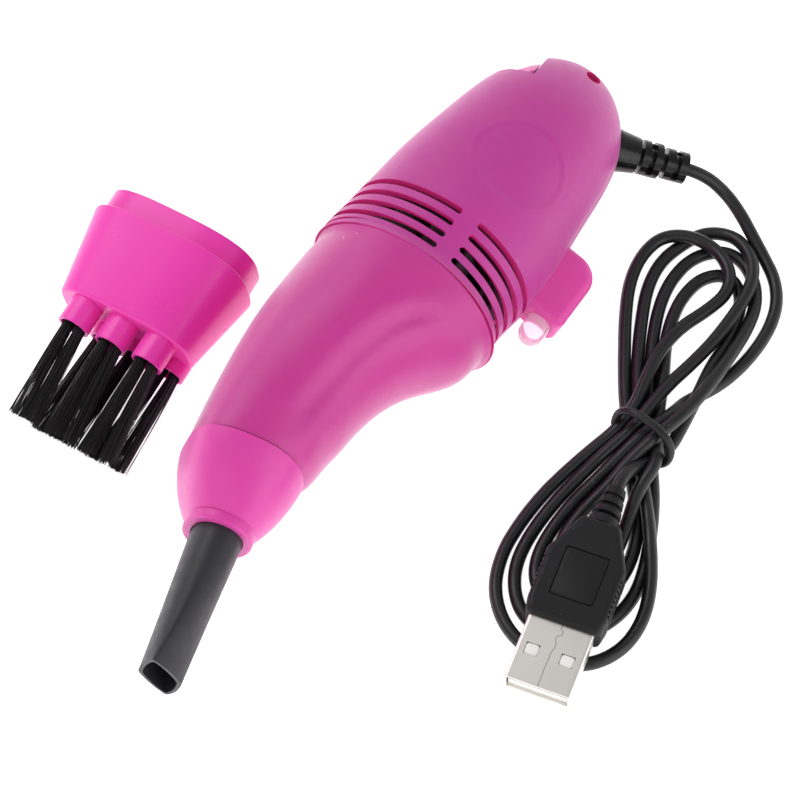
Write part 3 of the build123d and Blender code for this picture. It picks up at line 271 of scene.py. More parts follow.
    def dusty(self, colour, scale, size, amount=0.8):
        """Scatters small pale specks of dust in patches."""
        speck = self.between(self.cells(scale), size, size * 0.5, 0.0, amount)
        patch = self.between(self.noise(DUST_PATCHES, 2.0), *DUST_PATCH_EDGE)
        return self.paint(self.maths("MULTIPLY", speck, patch), colour)


MOTTLE = 0.03
SINK_SCALE = 60
SINK_DEPTH = 0.03
GRAIN_SCALE = 3200
GRAIN_DEPTH = 0.008


def moulded(name, colour, roughness, **settings):
    """Moulded plastic: faint clouds in its colour, a fine spark-eroded grain and slight sinks."""
    surface = Surface(name, colour, roughness, **settings)
    surface.clouded(mixed(colour, WHITE, 0.3), MOTTLE, 90, low=0.35, high=0.65, distortion=0.4)
    surface.clouded(mixed(colour, BLACK, 0.4), MOTTLE, 420)
    surface.rough(surface.noise(700), roughness - 0.04, roughness + 0.05)
    surface.bump(surface.noise(SINK_SCALE, 1.0), SINK_DEPTH, 0.5)
    surface.bump(surface.noise(GRAIN_SCALE, 2.0), GRAIN_DEPTH)
    return surface


HOUSING_PINK = tone(182, 48, 142)
TRIM_PINK = tone(210, 56, 156)
BRUSH_PINK = tone(232, 56, 172)
NOSE_PINK = tone(190, 44, 138)
DUST = tone(240, 232, 240)
GLOW = (1.0, 0.18, 0.45)

# Painted light: a deeper pink and an emission in the vents and the lanyard hole, standing in for light
# through the plastic.
PAINTED_GLOW_PINK = tone(196, 22, 118)
PAINTED_GLOW_STRENGTH = 0.15
# The walls of the vents face less outward than the housing's skin.
VENT_WALLS = (0.8, 0.3)
VENTS_END = 13.5
VENTS_FADE = 0.5
LANYARD_SPOT = (57.2, 3.1)
LANYARD_WALL = (1.85 * MM, 1.65 * MM)
THUMB_SPOT = (27.0, 2.2)
THUMB_EDGE = (8.1 * MM, 9.2 * MM)
THUMB_EDGE_DEPTH = 0.16
UPPER_HALF = (4.0 * MM, 6.0 * MM)


def mark_housing(surface):
    """Painted glow in the vents and the lanyard hole, standing in for light through the plastic; the thumb
    rest has a faint edge.
    """
    wall = surface.between(surface.outward(), *VENT_WALLS)
    behind = surface.along(TAIL_WAY, AXIS + TAIL_WAY * VENTS_END)
    in_vents = surface.maths("MULTIPLY", wall, surface.between(behind, 0.0, VENTS_FADE * MM, 1.0, 0.0))
    in_hole = surface.between(surface.from_spot(*LANYARD_SPOT), *LANYARD_WALL)
    surface.painted_glow(surface.maths("MAXIMUM", in_vents, in_hole), PAINTED_GLOW_PINK, PAINTED_GLOW_STRENGTH)
    ring = surface.between(surface.from_spot(*THUMB_SPOT), *THUMB_EDGE)
    upper = surface.between(surface.along(ACROSS_WAY, AXIS), *UPPER_HALF)
    surface.bump(surface.maths("MULTIPLY", ring, upper), THUMB_EDGE_DEPTH)


housing_pink = moulded(
    "housing_pink", HOUSING_PINK, 0.46, Specular_IOR_Level=0.42, Subsurface_Weight=0.1,
    Subsurface_Radius=GLOW, Subsurface_Scale=0.001, Sheen_Weight=0.2, Sheen_Roughness=0.35,
)
housing_pink.dusty(DUST, 330, 0.045)
mark_housing(housing_pink)
nose_pink = moulded(
    "nose_pink", NOSE_PINK, 0.44, Specular_IOR_Level=0.45, Subsurface_Weight=0.1, Subsurface_Radius=GLOW,
    Subsurface_Scale=0.001, Sheen_Weight=0.8, Sheen_Roughness=0.3,
)
nose_pink.dusty(DUST, 300, 0.045)
trim_pink = moulded(
    "trim_pink", TRIM_PINK, 0.4, Specular_IOR_Level=0.42, Subsurface_Weight=0.12, Subsurface_Radius=GLOW,
    Subsurface_Scale=0.0012, Sheen_Weight=0.25, Sheen_Roughness=0.35,
)
trim_pink.dusty(DUST, 330, 0.04)
# A lighter copy of the trim pink for the lamp pod: painted light that makes up for the shade on that side of
# the cleaner.
pod_pink_painted_light = moulded(
    "pod_pink_painted_light", tone(222, 66, 162), 0.4, Specular_IOR_Level=0.42, Sheen_Weight=0.25, Sheen_Roughness=0.35
)
brush_pink = Surface(
    "brush_pink", BRUSH_PINK, 0.3, Specular_IOR_Level=0.4, Sheen_Weight=0.15, Sheen_Roughness=0.35
)
brush_pink.clouded(tone(244, 84, 184), 0.1, 60, 1.0, 0.3, 0.7)
brush_pink.rough(brush_pink.noise(200, 1.0), 0.27, 0.33).bump(brush_pink.noise(45, 1.0), 0.02, 0.5)

nozzle_rubber = Surface("nozzle_rubber", tone(40, 39, 44), 0.46, Specular_IOR_Level=0.3)
nozzle_rubber.clouded(tone(52, 51, 57), 0.3, 240, 4.0)
nozzle_rubber.rough(nozzle_rubber.noise(500), 0.4, 0.52).bump(nozzle_rubber.noise(2600, 2.0), 0.012)
nozzle_rubber.dusty(tone(150, 150, 155), 520, 0.05)

black_rubber = Surface("black_rubber", tone(20, 20, 22), 0.5, Specular_IOR_Level=0.25)
black_rubber.clouded(tone(34, 34, 37), 0.15, 2400)
black_rubber.rough(black_rubber.noise(620), 0.44, 0.56).bump(black_rubber.noise(4200, 2.0), 0.008)
black_rubber.dusty(tone(170, 170, 175), 540, 0.05)

relief_rubber = Surface("relief_rubber", tone(9, 9, 11), 0.16, Specular_IOR_Level=0.35)
relief_rubber.clouded(tone(18, 18, 20), 0.2, 400)
relief_rubber.rough(relief_rubber.noise(600), 0.12, 0.24).bump(relief_rubber.noise(420, 2.0), 0.12, 0.6)

cord_rubber = Surface("cord_rubber", tone(17, 17, 19), 0.3, Specular_IOR_Level=0.45)
cord_rubber.clouded(tone(28, 28, 31), 0.3, 220, 4.0)
cord_rubber.rough(cord_rubber.noise(340), 0.3, 0.46).bump(cord_rubber.noise(900, 3.0), 0.02)
cord_rubber.dusty(tone(175, 175, 180), 560, 0.06, 0.9)

tie_plastic = Surface("tie_plastic", tone(18, 18, 20), 0.36, Specular_IOR_Level=0.4)
tie_plastic.clouded(tone(34, 34, 37), 0.3, 500)
tie_plastic.rough(tie_plastic.noise(800), 0.34, 0.5).bump(tie_plastic.noise(1500, 2.0), 0.03)

nickel = Surface("nickel", tone(228, 224, 219), 0.34, Metallic=1.0)
rolled = nickel.stretched((1.0, 14.0, 1.0), (0, 0, -PLUG_TURN))
nickel.clouded(tone(206, 202, 196), 0.08, 150, 2.0, 0.35)
nickel.rough(nickel.noise(240, 2.0, place=rolled), 0.34, 0.38)
nickel.bump(nickel.noise(420, 4.0, place=rolled), 0.004)
nickel.bump(nickel.noise(70, 1.0), 0.02, 0.3)

seam_metal = Surface("seam_metal", tone(140, 136, 131), 0.5, Metallic=1.0)
seam_metal.rough(seam_metal.noise(500), 0.4, 0.6).bump(seam_metal.noise(800), 0.02)

screw_steel = Surface("screw_steel", tone(190, 190, 192), 0.32, Metallic=1.0)
screw_steel.rough(screw_steel.noise(900), 0.24, 0.45).bump(screw_steel.noise(1500), 0.01)
zinc = Surface("zinc", tone(176, 178, 182), 0.38, Metallic=1.0)
zinc.paint(zinc.between(zinc.cells(260), 0.1, 0.6, 0, 0.5), tone(150, 153, 160))
zinc.rough(zinc.cells(260), 0.3, 0.5).bump(zinc.noise(1400), 0.01)
gold = Surface("gold", tone(236, 190, 96), 0.24, Metallic=1.0)
gold.rough(gold.noise(700), 0.2, 0.36).bump(gold.noise(900), 0.01)
wire_red = moulded("wire_red", tone(176, 24, 30), 0.4)
cap_plastic = moulded("cap_plastic", tone(58, 56, 60), 0.45)
inner_plastic = moulded("inner_plastic", tone(120, 52, 96), 0.55)
fan_plastic = moulded("fan_plastic", tone(40, 36, 42), 0.42)
tongue_plastic = moulded("tongue_plastic", tone(235, 234, 230), 0.4)
filter_plastic = moulded("filter_plastic", tone(232, 232, 230), 0.5)

filter_cloth = Surface("filter_cloth", tone(226, 226, 222), 0.9, Sheen_Weight=0.3)
weave = filter_cloth.stretched((1.0, 1.0, 1.0), (0.3, 0.8, 0.1))
filter_cloth.clouded(tone(188, 188, 186), 0.6, 300, 5.0, 0.35)
filter_cloth.rough(filter_cloth.noise(500), 0.85, 0.95).bump(filter_cloth.cells(2600, weave), 0.08)

bristle = Surface("bristle", tone(14, 13, 14), 0.3, Specular_IOR_Level=0.45)
bristle.clouded(tone(36, 33, 35), 0.4, 700, high=0.65)
bristle.rough(bristle.noise(400), 0.3, 0.46).bump(bristle.noise(2500), 0.01)

# The faint pink emission is painted light: it brightens the lamp's clear dome, which would otherwise show the
# dark inside of the pod through it.
clear_resin = Surface(
    "clear_resin", tone(255, 232, 244), 0.04, IOR=1.45, Transmission_Weight=0.8, Specular_IOR_Level=0.7,
    Coat_Weight=0.5, Emission_Color=(1.0, 0.7, 0.85, 1.0), Emission_Strength=0.12,
)
clear_resin.rough(clear_resin.noise(500), 0.02, 0.08).bump(clear_resin.noise(350, 1.0), 0.02, 0.4)
clear_resin.clouded(tone(240, 232, 238), 0.3, 300, high=0.8)

lamp_metal = Surface("lamp_metal", tone(222, 222, 224), 0.2, Metallic=1.0)
lamp_metal.rough(lamp_metal.noise(900), 0.15, 0.3).bump(lamp_metal.noise(1500), 0.01)
reflector = Surface("reflector", tone(250, 240, 246), 0.35)
reflector.rough(reflector.noise(800), 0.3, 0.5).bump(reflector.noise(1000), 0.01)

NODE_SURFACES = {
    "left_shell": housing_pink, "right_shell": housing_pink, "dust_cup": nose_pink,
    "seal_ring": black_rubber, "filter_frame": filter_plastic, "filter_cloth": filter_cloth,
    "nozzle_adapter": trim_pink, "crevice_nozzle": nozzle_rubber, "motor_can": zinc,
    "motor_end_cap": cap_plastic, "motor_wires": wire_red, "motor_plate": inner_plastic,
    "motor_screws": screw_steel, "motor_shaft": screw_steel, "fan_shroud": inner_plastic,
    "impeller": fan_plastic, "switch_button": trim_pink, "switch_body": cap_plastic, "lamp_pod": pod_pink_painted_light,
    "lamp": clear_resin, "lamp_leads": lamp_metal, "housing_screws": screw_steel,
    "strain_relief": relief_rubber, "cord_tie": tie_plastic, "cord_hank": cord_rubber,
    "power_cord": cord_rubber, "plug_shell": nickel, "plug_tongue": tongue_plastic, "plug_contacts": gold,
    "plug_grip": black_rubber, "cord_end": cord_rubber, "brush_body": brush_pink, "front_tufts": bristle,
    "back_tufts": bristle,
}
for node_name, surface in NODE_SURFACES.items():
    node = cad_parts[node_name]
    node.data.materials.clear()
    node.data.materials.append(surface.material)


# ---------------------------------------------------------------- making pieces
TUBE_SIDES = 10


def placed(name, mesh, surface, body):
    """An object of a smooth mesh and one material, riding on a body."""
    mesh.materials.clear()
    mesh.materials.append(surface.material)
    mesh.shade_smooth()
    made = bpy.data.objects.new(name, mesh)
    bpy.context.scene.collection.objects.link(made)
    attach(made, body)
    return made


def piece(name, mesh_maker, surface, body):
    """An object whose mesh comes from a function that fills a bmesh."""
    built = bmesh.new()
    mesh_maker(built)
    mesh = bpy.data.meshes.new(name)
    built.to_mesh(mesh)
    built.free()
    return placed(name, mesh, surface, body)


def add_tube(built, path, radii, sides, closed=False, flat=1.0, up=Vector((0, 0, 1)), capped=True):
    """Adds a tube along a path of points, in millimetres."""
    rings = []
    count = len(path)
    for index, point in enumerate(path):
        before = path[index - 1] if index or closed else path[0]
        after = path[(index + 1) % count] if index + 1 < count or closed else path[-1]
        way = (after - before).normalized()
        side = way.cross(up)
        side = side.normalized() if side.length > 1e-6 else way.orthogonal().normalized()
        rise = side.cross(way)
        ring = []
        for step in range(sides):
            angle = 2 * math.pi * step / sides
            reach = side * math.cos(angle) + rise * math.sin(angle) * flat
            ring.append(built.verts.new((point + reach * radii[index]) * MM))
        rings.append(ring)
    pairs = list(zip(rings, rings[1:])) + ([(rings[-1], rings[0])] if closed else [])
    for low, high in pairs:
        for step in range(sides):
            following = (step + 1) % sides
            built.faces.new((low[step], low[following], high[following], high[step]))
    if not closed and capped:
        built.faces.new(rings[0][::-1])
        built.faces.new(rings[-1])


def rounded_square(angle, first_power, second_power):
    """The cosine and sine of an angle, drawn out towards the corners by powers below 1."""
    first, second = math.cos(angle), math.sin(angle)
    return math.copysign(abs(first) ** first_power, first), math.copysign(abs(second) ** second_power, second)


# ---------------------------------------------------------------- the nose's crease and the cleaner's outline
# How close points are merged, in metres, and how fine the copies are, in millimetres.
MERGE_REACH = 1e-6
LONGEST_EDGE = 1.5
SPLIT_ROUNDS = 3
SHARP_ANGLE = math.radians(30)


def eased(value, low, high):
    """Goes smoothly from 0 at one value to 1 at another."""
    share = min(max((value - low) / (high - low), 0.0), 1.0)
    return share * share * (3 - 2 * share)


def bell(value, middle, spread):
    """Goes smoothly from 1 at a middle value to near 0 at twice the spread from it."""
    return math.exp(-(((value - middle) / spread) ** 2))


def reshaped(name, node_name, surface, body, moved):
    """A finer copy of a node's mesh, its points moved by what a function gives for their place."""
    built = bmesh.new()
    built.from_mesh(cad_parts[node_name].data)
    bmesh.ops.remove_doubles(built, verts=built.verts, dist=MERGE_REACH)
    for _ in range(SPLIT_ROUNDS):
        edges = [edge for edge in built.edges if edge.calc_length() > LONGEST_EDGE * MM]
        bmesh.ops.subdivide_edges(built, edges=edges, cuts=1)
        bmesh.ops.triangulate(built, faces=[face for face in built.faces if len(face.verts) > 3])
    for vertex in built.verts:
        place = vertex.co / MM - AXIS
        aside, up = moved(place.y, place.dot(OFFSET_WAY), place.dot(ACROSS_WAY))
        vertex.co += (OFFSET_WAY * aside + ACROSS_WAY * up) * MM
    mesh = bpy.data.meshes.new(name)
    built.to_mesh(mesh)
    built.free()
    for attribute in ("custom_normal", "sharp_face", "sharp_edge"):
        if attribute in mesh.attributes:
            mesh.attributes.remove(mesh.attributes[attribute])
    made = placed(name, mesh, surface, body)
    mesh.set_sharp_from_angle(angle=SHARP_ANGLE)
    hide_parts(node_name)


# The crease: its depth and width, its bent line from side to side, and the stations where it starts and ends.
CREASE_DEPTH = 0.95
CREASE_SPREAD = 1.8
CREASE_OFFSET = -2.8
CREASE_SWING = 7.6
CREASE_BEND = 7.5
CREASE_BEND_END = 6.0
CREASE_ASIDE = 1.6
CREASE_START = (-42.0, -35.0)
CREASE_END = (-11.0, -5.0)
CREASE_TOP = (3.0, 6.0)

# The flanks of the nose: how much each is flatter, and the middle and spread of that along the axis.
FLANK = (6.0, 14.0)
LEFT_FLATTER = 1.3
LEFT_STATIONS = (-8.0, 10.0)
RIGHT_FLATTER = 0.75
RIGHT_STATIONS = (-14.0, 14.0)
RIGHT_FADE = (30.0, 38.0)
RIM_FLATTER = 0.8
RIM_STATIONS = (-2.5, 3.0)
MOUTH_FLATTER = 0.4
MOUTH_STATIONS = (-36.5, 3.5)
MOUTH_FLANK = (2.0, 6.0)
RIM_HELD = (-1.8, -0.1)

# The housing's flank away from the lamp: how much it is fuller, and where.
HOUSING_FULLER = 1.65
HOUSING_STATIONS = (21.0, 12.5)
HOUSING_START = (3.0, 12.0)
HOUSING_HEIGHTS = (-12.0, -2.0)
HOUSING_FLANK = (4.0, 14.0)


def nose_moved(station, offset, across):
    """A crease along the top of the nose, and its sides a little flatter."""
    inside = 1 - eased(station, *RIM_HELD)
    line = CREASE_OFFSET + CREASE_SWING * math.exp(min(station + CREASE_BEND, CREASE_BEND_END) / CREASE_BEND)
    dip = -CREASE_DEPTH * bell(offset, line + CREASE_ASIDE, CREASE_SPREAD)
    dip = dip * eased(station, *CREASE_START) * (1 - eased(station, *CREASE_END))
    up = dip * eased(across, *CREASE_TOP)
    aside = LEFT_FLATTER * bell(station, *LEFT_STATIONS) * eased(-offset, *FLANK)
    right = RIGHT_FLATTER * bell(station, *RIGHT_STATIONS) * (1 - eased(-station, *RIGHT_FADE))
    right *= eased(offset, *FLANK)
    right += RIM_FLATTER * bell(station, *RIM_STATIONS) * eased(offset, *FLANK)
    aside -= right + MOUTH_FLATTER * bell(station, *MOUTH_STATIONS) * eased(offset, *MOUTH_FLANK)
    return aside * inside, up


def housing_moved(station, offset, across):
    """The side away from the lamp a little fuller."""
    length = bell(station, *HOUSING_STATIONS) * eased(station, *HOUSING_START)
    aside = -HOUSING_FULLER * length * eased(across, *HOUSING_HEIGHTS) * eased(-offset, *HOUSING_FLANK)
    return aside, 0.0


reshaped("nose_moulding", "dust_cup", nose_pink, "cup", nose_moved)
reshaped("left_moulding", "left_shell", housing_pink, "housing", housing_moved)
reshaped("right_moulding", "right_shell", housing_pink, "housing", housing_moved)

# ---------------------------------------------------------------- cord
CORD_DIAMETER = 2.5

# From the strain relief to the hank.
FREE_ROUTE = (
    (41.95, 70.87, 10.88), (45.35, 72.5, 9.7), (49.9, 73.2, 6.4), (54.2, 71.6, 3.2), (58.4, 68.6, 1.5),
)
# From the hank to the plug.
PLUG_ROUTE = ((65.4, 14.2, 5.0), (65.6, 8.5, 8.5), (66.28, 5.16, 8.28))

# The turns of the hank in the order of the cord, from above: a first guess of the height, then the points.
TURNS = (
    (1.3, (62.4, 66.4), (66.8, 63.6), (69.9, 58.8), (71.2, 52.4), (70.9, 45.0), (69.2, 38.0), (67.0, 31.5)),
    (5.2, (65.2, 25.5), (64.4, 19.5), (62.6, 13.6)),
    (1.3, (61.0, 7.8), (59.6, 1.2), (59.2, -5.4), (59.8, -11.0), (62.0, -15.3), (65.6, -17.4),
     (69.8, -16.8), (73.4, -12.8), (74.9, -7.0), (74.2, -0.6), (71.8, 5.6), (68.8, 11.4)),
    (1.3, (65.2, 17.6), (61.0, 23.0), (56.0, 28.6), (51.4, 34.6), (47.0, 41.4), (43.8, 48.2), (42.7, 54.4),
     (44.6, 59.8)),
    (5.5, (49.0, 62.6), (54.6, 62.6), (59.2, 59.6), (61.0, 55.2), (59.8, 50.0), (57.4, 43.6)),
    (8.0, (56.8, 37.0), (57.8, 30.6), (59.4, 24.6), (59.4, 18.8)),
    (1.3, (57.2, 12.4), (55.2, 6.4), (54.0, 0.2), (53.6, -7.0), (54.1, -13.8), (56.6, -20.4), (61.4, -25.2),
     (67.4, -27.4), (73.6, -27.0), (79.0, -24.2), (82.3, -18.6), (82.5, -12.0), (80.2, -5.6), (76.0, 1.0),
     (71.6, 7.2)),
    (2.6, (67.6, 13.2), (63.6, 19.6), (59.6, 25.6), (56.0, 31.0), (52.8, 36.6), (49.6, 43.2), (47.0, 49.6),
     (45.9, 56.0), (46.8, 61.6)),
    (4.4, (49.8, 66.0), (54.8, 68.0), (59.4, 66.4), (62.8, 62.2), (64.4, 56.6), (64.6, 50.0), (64.2, 43.4)),
    (6.0, (63.2, 37.0), (62.2, 31.0), (61.8, 25.2), (61.0, 19.5), (58.8, 12.8)),
    (1.3, (57.8, 6.0), (56.7, -0.4), (56.4, -7.4), (57.2, -13.8), (59.8, -18.8), (63.8, -22.2), (69.2, -22.8),
     (74.4, -20.0), (77.6, -14.8), (78.6, -8.4), (77.2, -2.0), (74.2, 4.6), (70.6, 11.2)),
    (3.8, (66.6, 17.4), (63.0, 23.6), (59.4, 29.4), (56.2, 35.4), (53.2, 41.6), (50.8, 48.0), (49.9, 54.0),
     (50.8, 60.0)),
    (1.5, (54.2, 64.2), (58.8, 65.0), (63.4, 61.8), (66.4, 57.0), (67.8, 50.6), (68.2, 43.8)),
    (6.5, (68.2, 37.0), (68.0, 30.4), (67.6, 24.6), (66.8, 18.6), (65.2, 12.6)),
    (9.0, (63.6, 7.4), (62.0, 1.6)),
    (1.3, (61.6, -4.2), (62.4, -8.6), (65.0, -11.4), (68.6, -11.4), (71.2, -8.0), (71.6, -2.4), (70.2, 3.4)),
    (6.4, (68.6, 9.2), (67.0, 14.6)),
    (5.0, (64.8, 20.6), (61.8, 26.8), (59.2, 33.0), (56.6, 39.0), (54.6, 45.2), (53.6, 51.4), (54.6, 57.2),
     (58.4, 60.4)),
    (2.5, (62.6, 58.0), (64.8, 53.0), (66.0, 46.4), (66.4, 39.8), (66.8, 33.0), (67.2, 26.2), (66.6, 19.8)),
)

# How the cord settles: points per span of the route, rounds, and how near strands push each other.
SETTLE_STEPS = 8
SETTLE_ROUNDS = 420
PAIRING_ROUNDS = 10
PAIR_REACH = 1.8 * CORD_DIAMETER
PAIR_APART = 3 * CORD_DIAMETER
STRAND_GAP = CORD_DIAMETER * 1.01
CROSSING_REACH = 0.8 * CORD_DIAMETER
CROSSING_RISE = 0.5 * CORD_DIAMETER
# What a round does: the shares of pushing, straightening and going home, and the sinking in millimetres.
PUSHING = 1.5
STRAIGHTENING = 0.06
HOMING = 0.04
SINKING = 0.03
# The share of the rounds in which it sinks.
SINKING_SHARE = 0.75
# How finely the cord is measured and drawn.
LENGTH_STEPS = 10
CORD_RESOLUTION = 6
CORD_BEVEL = 5


def cord_route():
    """The cord's control points, before it settles."""
    points = list(FREE_ROUTE)
    for height, *turn in TURNS:
        points += [(x, y, height) for x, y in turn]
    return np.array(points + list(PLUG_ROUTE))


def spline_rows(count, per_span):
    """Rows that turn the control points of a clamped quadratic spline into points on it."""
    knots = np.concatenate([[0, 0], np.arange(count - 1), [count - 2] * 2]).astype(float)
    places = np.linspace(0, count - 2, (count - 2) * per_span + 1)
    places[-1] -= 1e-9
    rows = np.zeros((len(places), count))
    for row, place in enumerate(places):
        k = int(place) + 2
        left = (knots[k + 1] - place) / (knots[k + 1] - knots[k])
        near = (knots[k + 1] - place) / (knots[k + 1] - knots[k - 1])
        far = (place - knots[k]) / (knots[k + 2] - knots[k])
        rows[row, k - 2] = left * near
        rows[row, k - 1] = left * (1 - near) + (1 - left) * (1 - far)
        rows[row, k] = (1 - left) * far
    return rows


def near_pairs(line, reach, apart):
    """Pairs of points of a line that are near each other, though far apart along it."""
    run = np.concatenate([[0], np.cumsum(np.linalg.norm(np.diff(line, axis=0), axis=1))])
    squares = (line**2).sum(1)
    square_gaps = squares[:, None] + squares[None, :] - 2 * line @ line.T
    first, second = np.nonzero(np.triu(square_gaps < reach**2, 1))
    keep = run[second] - run[first] > apart
    return first[keep], second[keep]


def settle(points, held):
    """Lets the cord sink to the bench, its strands resting on and beside each other."""
    rows = spline_rows(len(points), SETTLE_STEPS)
    shares = (rows / rows.sum(0)).T
    aim = points.copy()
    order = rows @ points[:, 2]
    points = points.copy()
    for step in range(SETTLE_ROUNDS):
        line = rows @ points
        if step % PAIRING_ROUNDS == 0:
            first, second = near_pairs(line, PAIR_REACH, PAIR_APART)
            over = np.sign(order[first] - order[second] + 1e-6)
        gap = line[first] - line[second]
        distance = np.linalg.norm(gap, axis=1)
        lack = np.clip(STRAND_GAP - distance, 0, None)
        flat = np.linalg.norm(gap[:, :2], axis=1)
        way = gap.copy()
        crossing = flat < CROSSING_REACH
        way[crossing, 2] = over[crossing] * np.maximum(over * gap[:, 2], CROSSING_RISE)[crossing]
        wrong = crossing & (over * gap[:, 2] < 0)
        lack[wrong] = CORD_DIAMETER
        way /= np.linalg.norm(way, axis=1)[:, None] + 1e-9
        push = np.zeros_like(line)
        hits = np.zeros(len(line))
        for index, sign in ((first, 0.5), (second, -0.5)):
            np.add.at(push, index, sign * lack[:, None] * way)
            np.add.at(hits, index, lack > 0)
        push /= np.maximum(hits, 1)[:, None]
        change = PUSHING * (shares @ push)
        change[1:-1] += STRAIGHTENING * ((points[:-2] + points[2:]) / 2 - points[1:-1]) * (0, 0, 1)
        change[:, :2] += HOMING * (aim - points)[:, :2]
        change[:, 2] -= SINKING if step < SINKING_SHARE * SETTLE_ROUNDS else 0.0
        points[~held] += change[~held]
        low = np.maximum(points[:, 2], CORD_DIAMETER / 2)
        points[:, 2] = np.where(held, points[:, 2], low)
    return points


# The ends at the strain relief and at the plug's boot stay where they are.
held = np.zeros(len(cord_route()), bool)
held[:3] = True
held[-2:] = True
cord_points = settle(cord_route(), held)
cord_line = spline_rows(len(cord_points), LENGTH_STEPS) @ cord_points

cord_curve = bpy.data.curves.new("cord", "CURVE")
cord_curve.dimensions = "3D"
spline = cord_curve.splines.new("NURBS")
spline.points.add(len(cord_points) - 1)
for point, place in zip(spline.points, cord_points):
    point.co = (*(place * MM), 1.0)
spline.order_u = 3
spline.use_endpoint_u = True
spline.resolution_u = CORD_RESOLUTION
cord_curve.resolution_u = CORD_RESOLUTION
cord_curve.bevel_depth = CORD_DIAMETER / 2 * MM
cord_curve.bevel_resolution = CORD_BEVEL
cord_curve.use_fill_caps = True
cord = bpy.data.objects.new("cord", cord_curve)
bpy.context.scene.collection.objects.link(cord)
cord_curve.materials.append(cord_rubber.material)
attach(cord, "housing")
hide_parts("power_cord", "cord_hank", "cord_end")

# ---------------------------------------------------------------- the tie round the hank
TIE_MIDDLE = Vector((63.9, 18.8, 0))
TIE_WAY = Vector((0.99, -0.13, 0)).normalized()
TIE_HALF_WIDE = 5.3
TIE_CLEAR_HEIGHT = 8.4
TIE_SLOPE = 1.2
TIE_RADIUS = 0.85
TIE_FLATNESS = 0.8
TIE_SQUARENESS = (0.8, 0.85)
TIE_STEPS = 40


def tie_path():
    """A ring round the waist of the hank, flat on the bench below."""
    path = []
    for step in range(TIE_STEPS):
        sideways, height = rounded_square(2 * math.pi * step / TIE_STEPS, *TIE_SQUARENESS)
        rise = Vector((0, TIE_SLOPE * height, TIE_RADIUS + TIE_CLEAR_HEIGHT / 2 * (1 + height)))
        path.append(TIE_MIDDLE + TIE_WAY * (TIE_HALF_WIDE + TIE_RADIUS) * sideways + rise)
    return path


def add_tie(built):
    """Adds the tie's ring, a little flattened."""
    add_tube(built, tie_path(), [TIE_RADIUS] * TIE_STEPS, TUBE_SIDES, closed=True, flat=TIE_FLATNESS)


tie = piece("hank_tie", add_tie, tie_plastic, "housing")
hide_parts("cord_tie")


# ---------------------------------------------------------------- bristles
FRONT_ROW = (-7.5, 0.4, 8.3)
BACK_ROW = (-3.8, 3.2, 10.0)
FERRULE_ROW = 3.9
TUFT_ROOT = 3.2

# Two wisps per tuft: how far aside they start and spread, and half their depth and width.
WISP_ASIDE = 1.2
WISP_SPREAD = (0.4, 0.8)
TUFT_STRAY = 0.3
WISP_ROOT = (1.5, 0.8)
WISP_TIP = (1.1, 1.75)
DROOP_POWER = 1.3
SPREAD_POWER = 0.8

FIBRES = 95
FIBRE_RADIUS = 0.085
FIBRE_TAPER = 0.3
FIBRE_STEPS = 6
FIBRE_SIDES = 4
FIBRE_STRAY = 0.12
FIBRE_BOW = 0.12
ASIDE_STRAY = 0.1
WILD_STRAY = 0.5
WILD_SHARE = 0.07
UNEVEN_CUT = 0.022
BENCH_GAP = 0.15
# Fibres turned by this angle from one to the next fill a disc evenly.
GOLDEN_ANGLE = 2.39996


def brush_point(along, down, across):
    """A point of the brush by its distances from the middle of its open end."""
    return BRUSH_SPOT + BRUSH_WAY * along + BRUSH_DOWN * down + BRUSH_ACROSS * across


def add_wisp(built, down, across, tip_down, tip_across, start, chance):
    """Adds a flat wisp of fibres, straight from a ferrule to where they are cut off."""
    reach = SKIRT_HEIGHT + FERRULE_LENGTH + TUFT_LENGTH - start
    for fibre in range(FIBRES):
        ring = math.sqrt((fibre + 0.5) / FIBRES)
        turn = fibre * GOLDEN_ANGLE
        root_down, root_across = ring * math.cos(turn), ring * math.sin(turn)
        stray = WILD_STRAY if chance.random() < WILD_SHARE else ASIDE_STRAY
        stray_down, stray_across = chance.gauss(0, FIBRE_STRAY), chance.gauss(0, stray)
        length = reach * (1 - chance.uniform(0.0, UNEVEN_CUT))
        bow = chance.gauss(0, FIBRE_BOW)
        path, radii = [], []
        for step in range(FIBRE_STEPS + 1):
            share = step / FIBRE_STEPS
            half_deep = blend(WISP_ROOT[0], WISP_TIP[0], share)
            half_wide = blend(WISP_ROOT[1], WISP_TIP[1], share**SPREAD_POWER)
            lift = blend(down, tip_down, share**DROOP_POWER)
            lift += root_down * half_deep + stray_down * share
            aside = blend(across, tip_across, share)
            aside += root_across * half_wide + stray_across * share
            aside += bow * math.sin(math.pi * share)
            path.append(brush_point(start + length * share, lift, aside))
            path[-1].z = max(path[-1].z, BENCH_GAP)
            radii.append(FIBRE_RADIUS * (1 - FIBRE_TAPER * share))
        add_tube(built, path, radii, FIBRE_SIDES, capped=False)


def add_row(built, down, spots, tip_down, start, chance):
    """Adds the tufts of a row, each of two wisps side by side."""
    for across in spots:
        for side in (-1, 1):
            tip_across = across + side * (WISP_ASIDE + chance.uniform(*WISP_SPREAD))
            tip_across += chance.uniform(-TUFT_STRAY, TUFT_STRAY)
            add_wisp(built, down, across + side * WISP_ASIDE, tip_down, tip_across, start, chance)


for name, node_name, down, spots, tip_down, ferrule, seed in (
    ("front_bristles", "front_tufts", -FERRULE_ROW, FRONT_ROW, 1.0, FERRULE_LENGTH, 5),
    ("back_bristles", "back_tufts", FERRULE_ROW, BACK_ROW, 3.4, BACK_FERRULE_LENGTH, 8),
):
    start = SKIRT_HEIGHT + ferrule - TUFT_ROOT
    bristles = piece(
        name,
        lambda built: add_row(built, down, spots, tip_down, start, random.Random(seed)),
        bristle, "brush_head",
    )
    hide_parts(node_name)

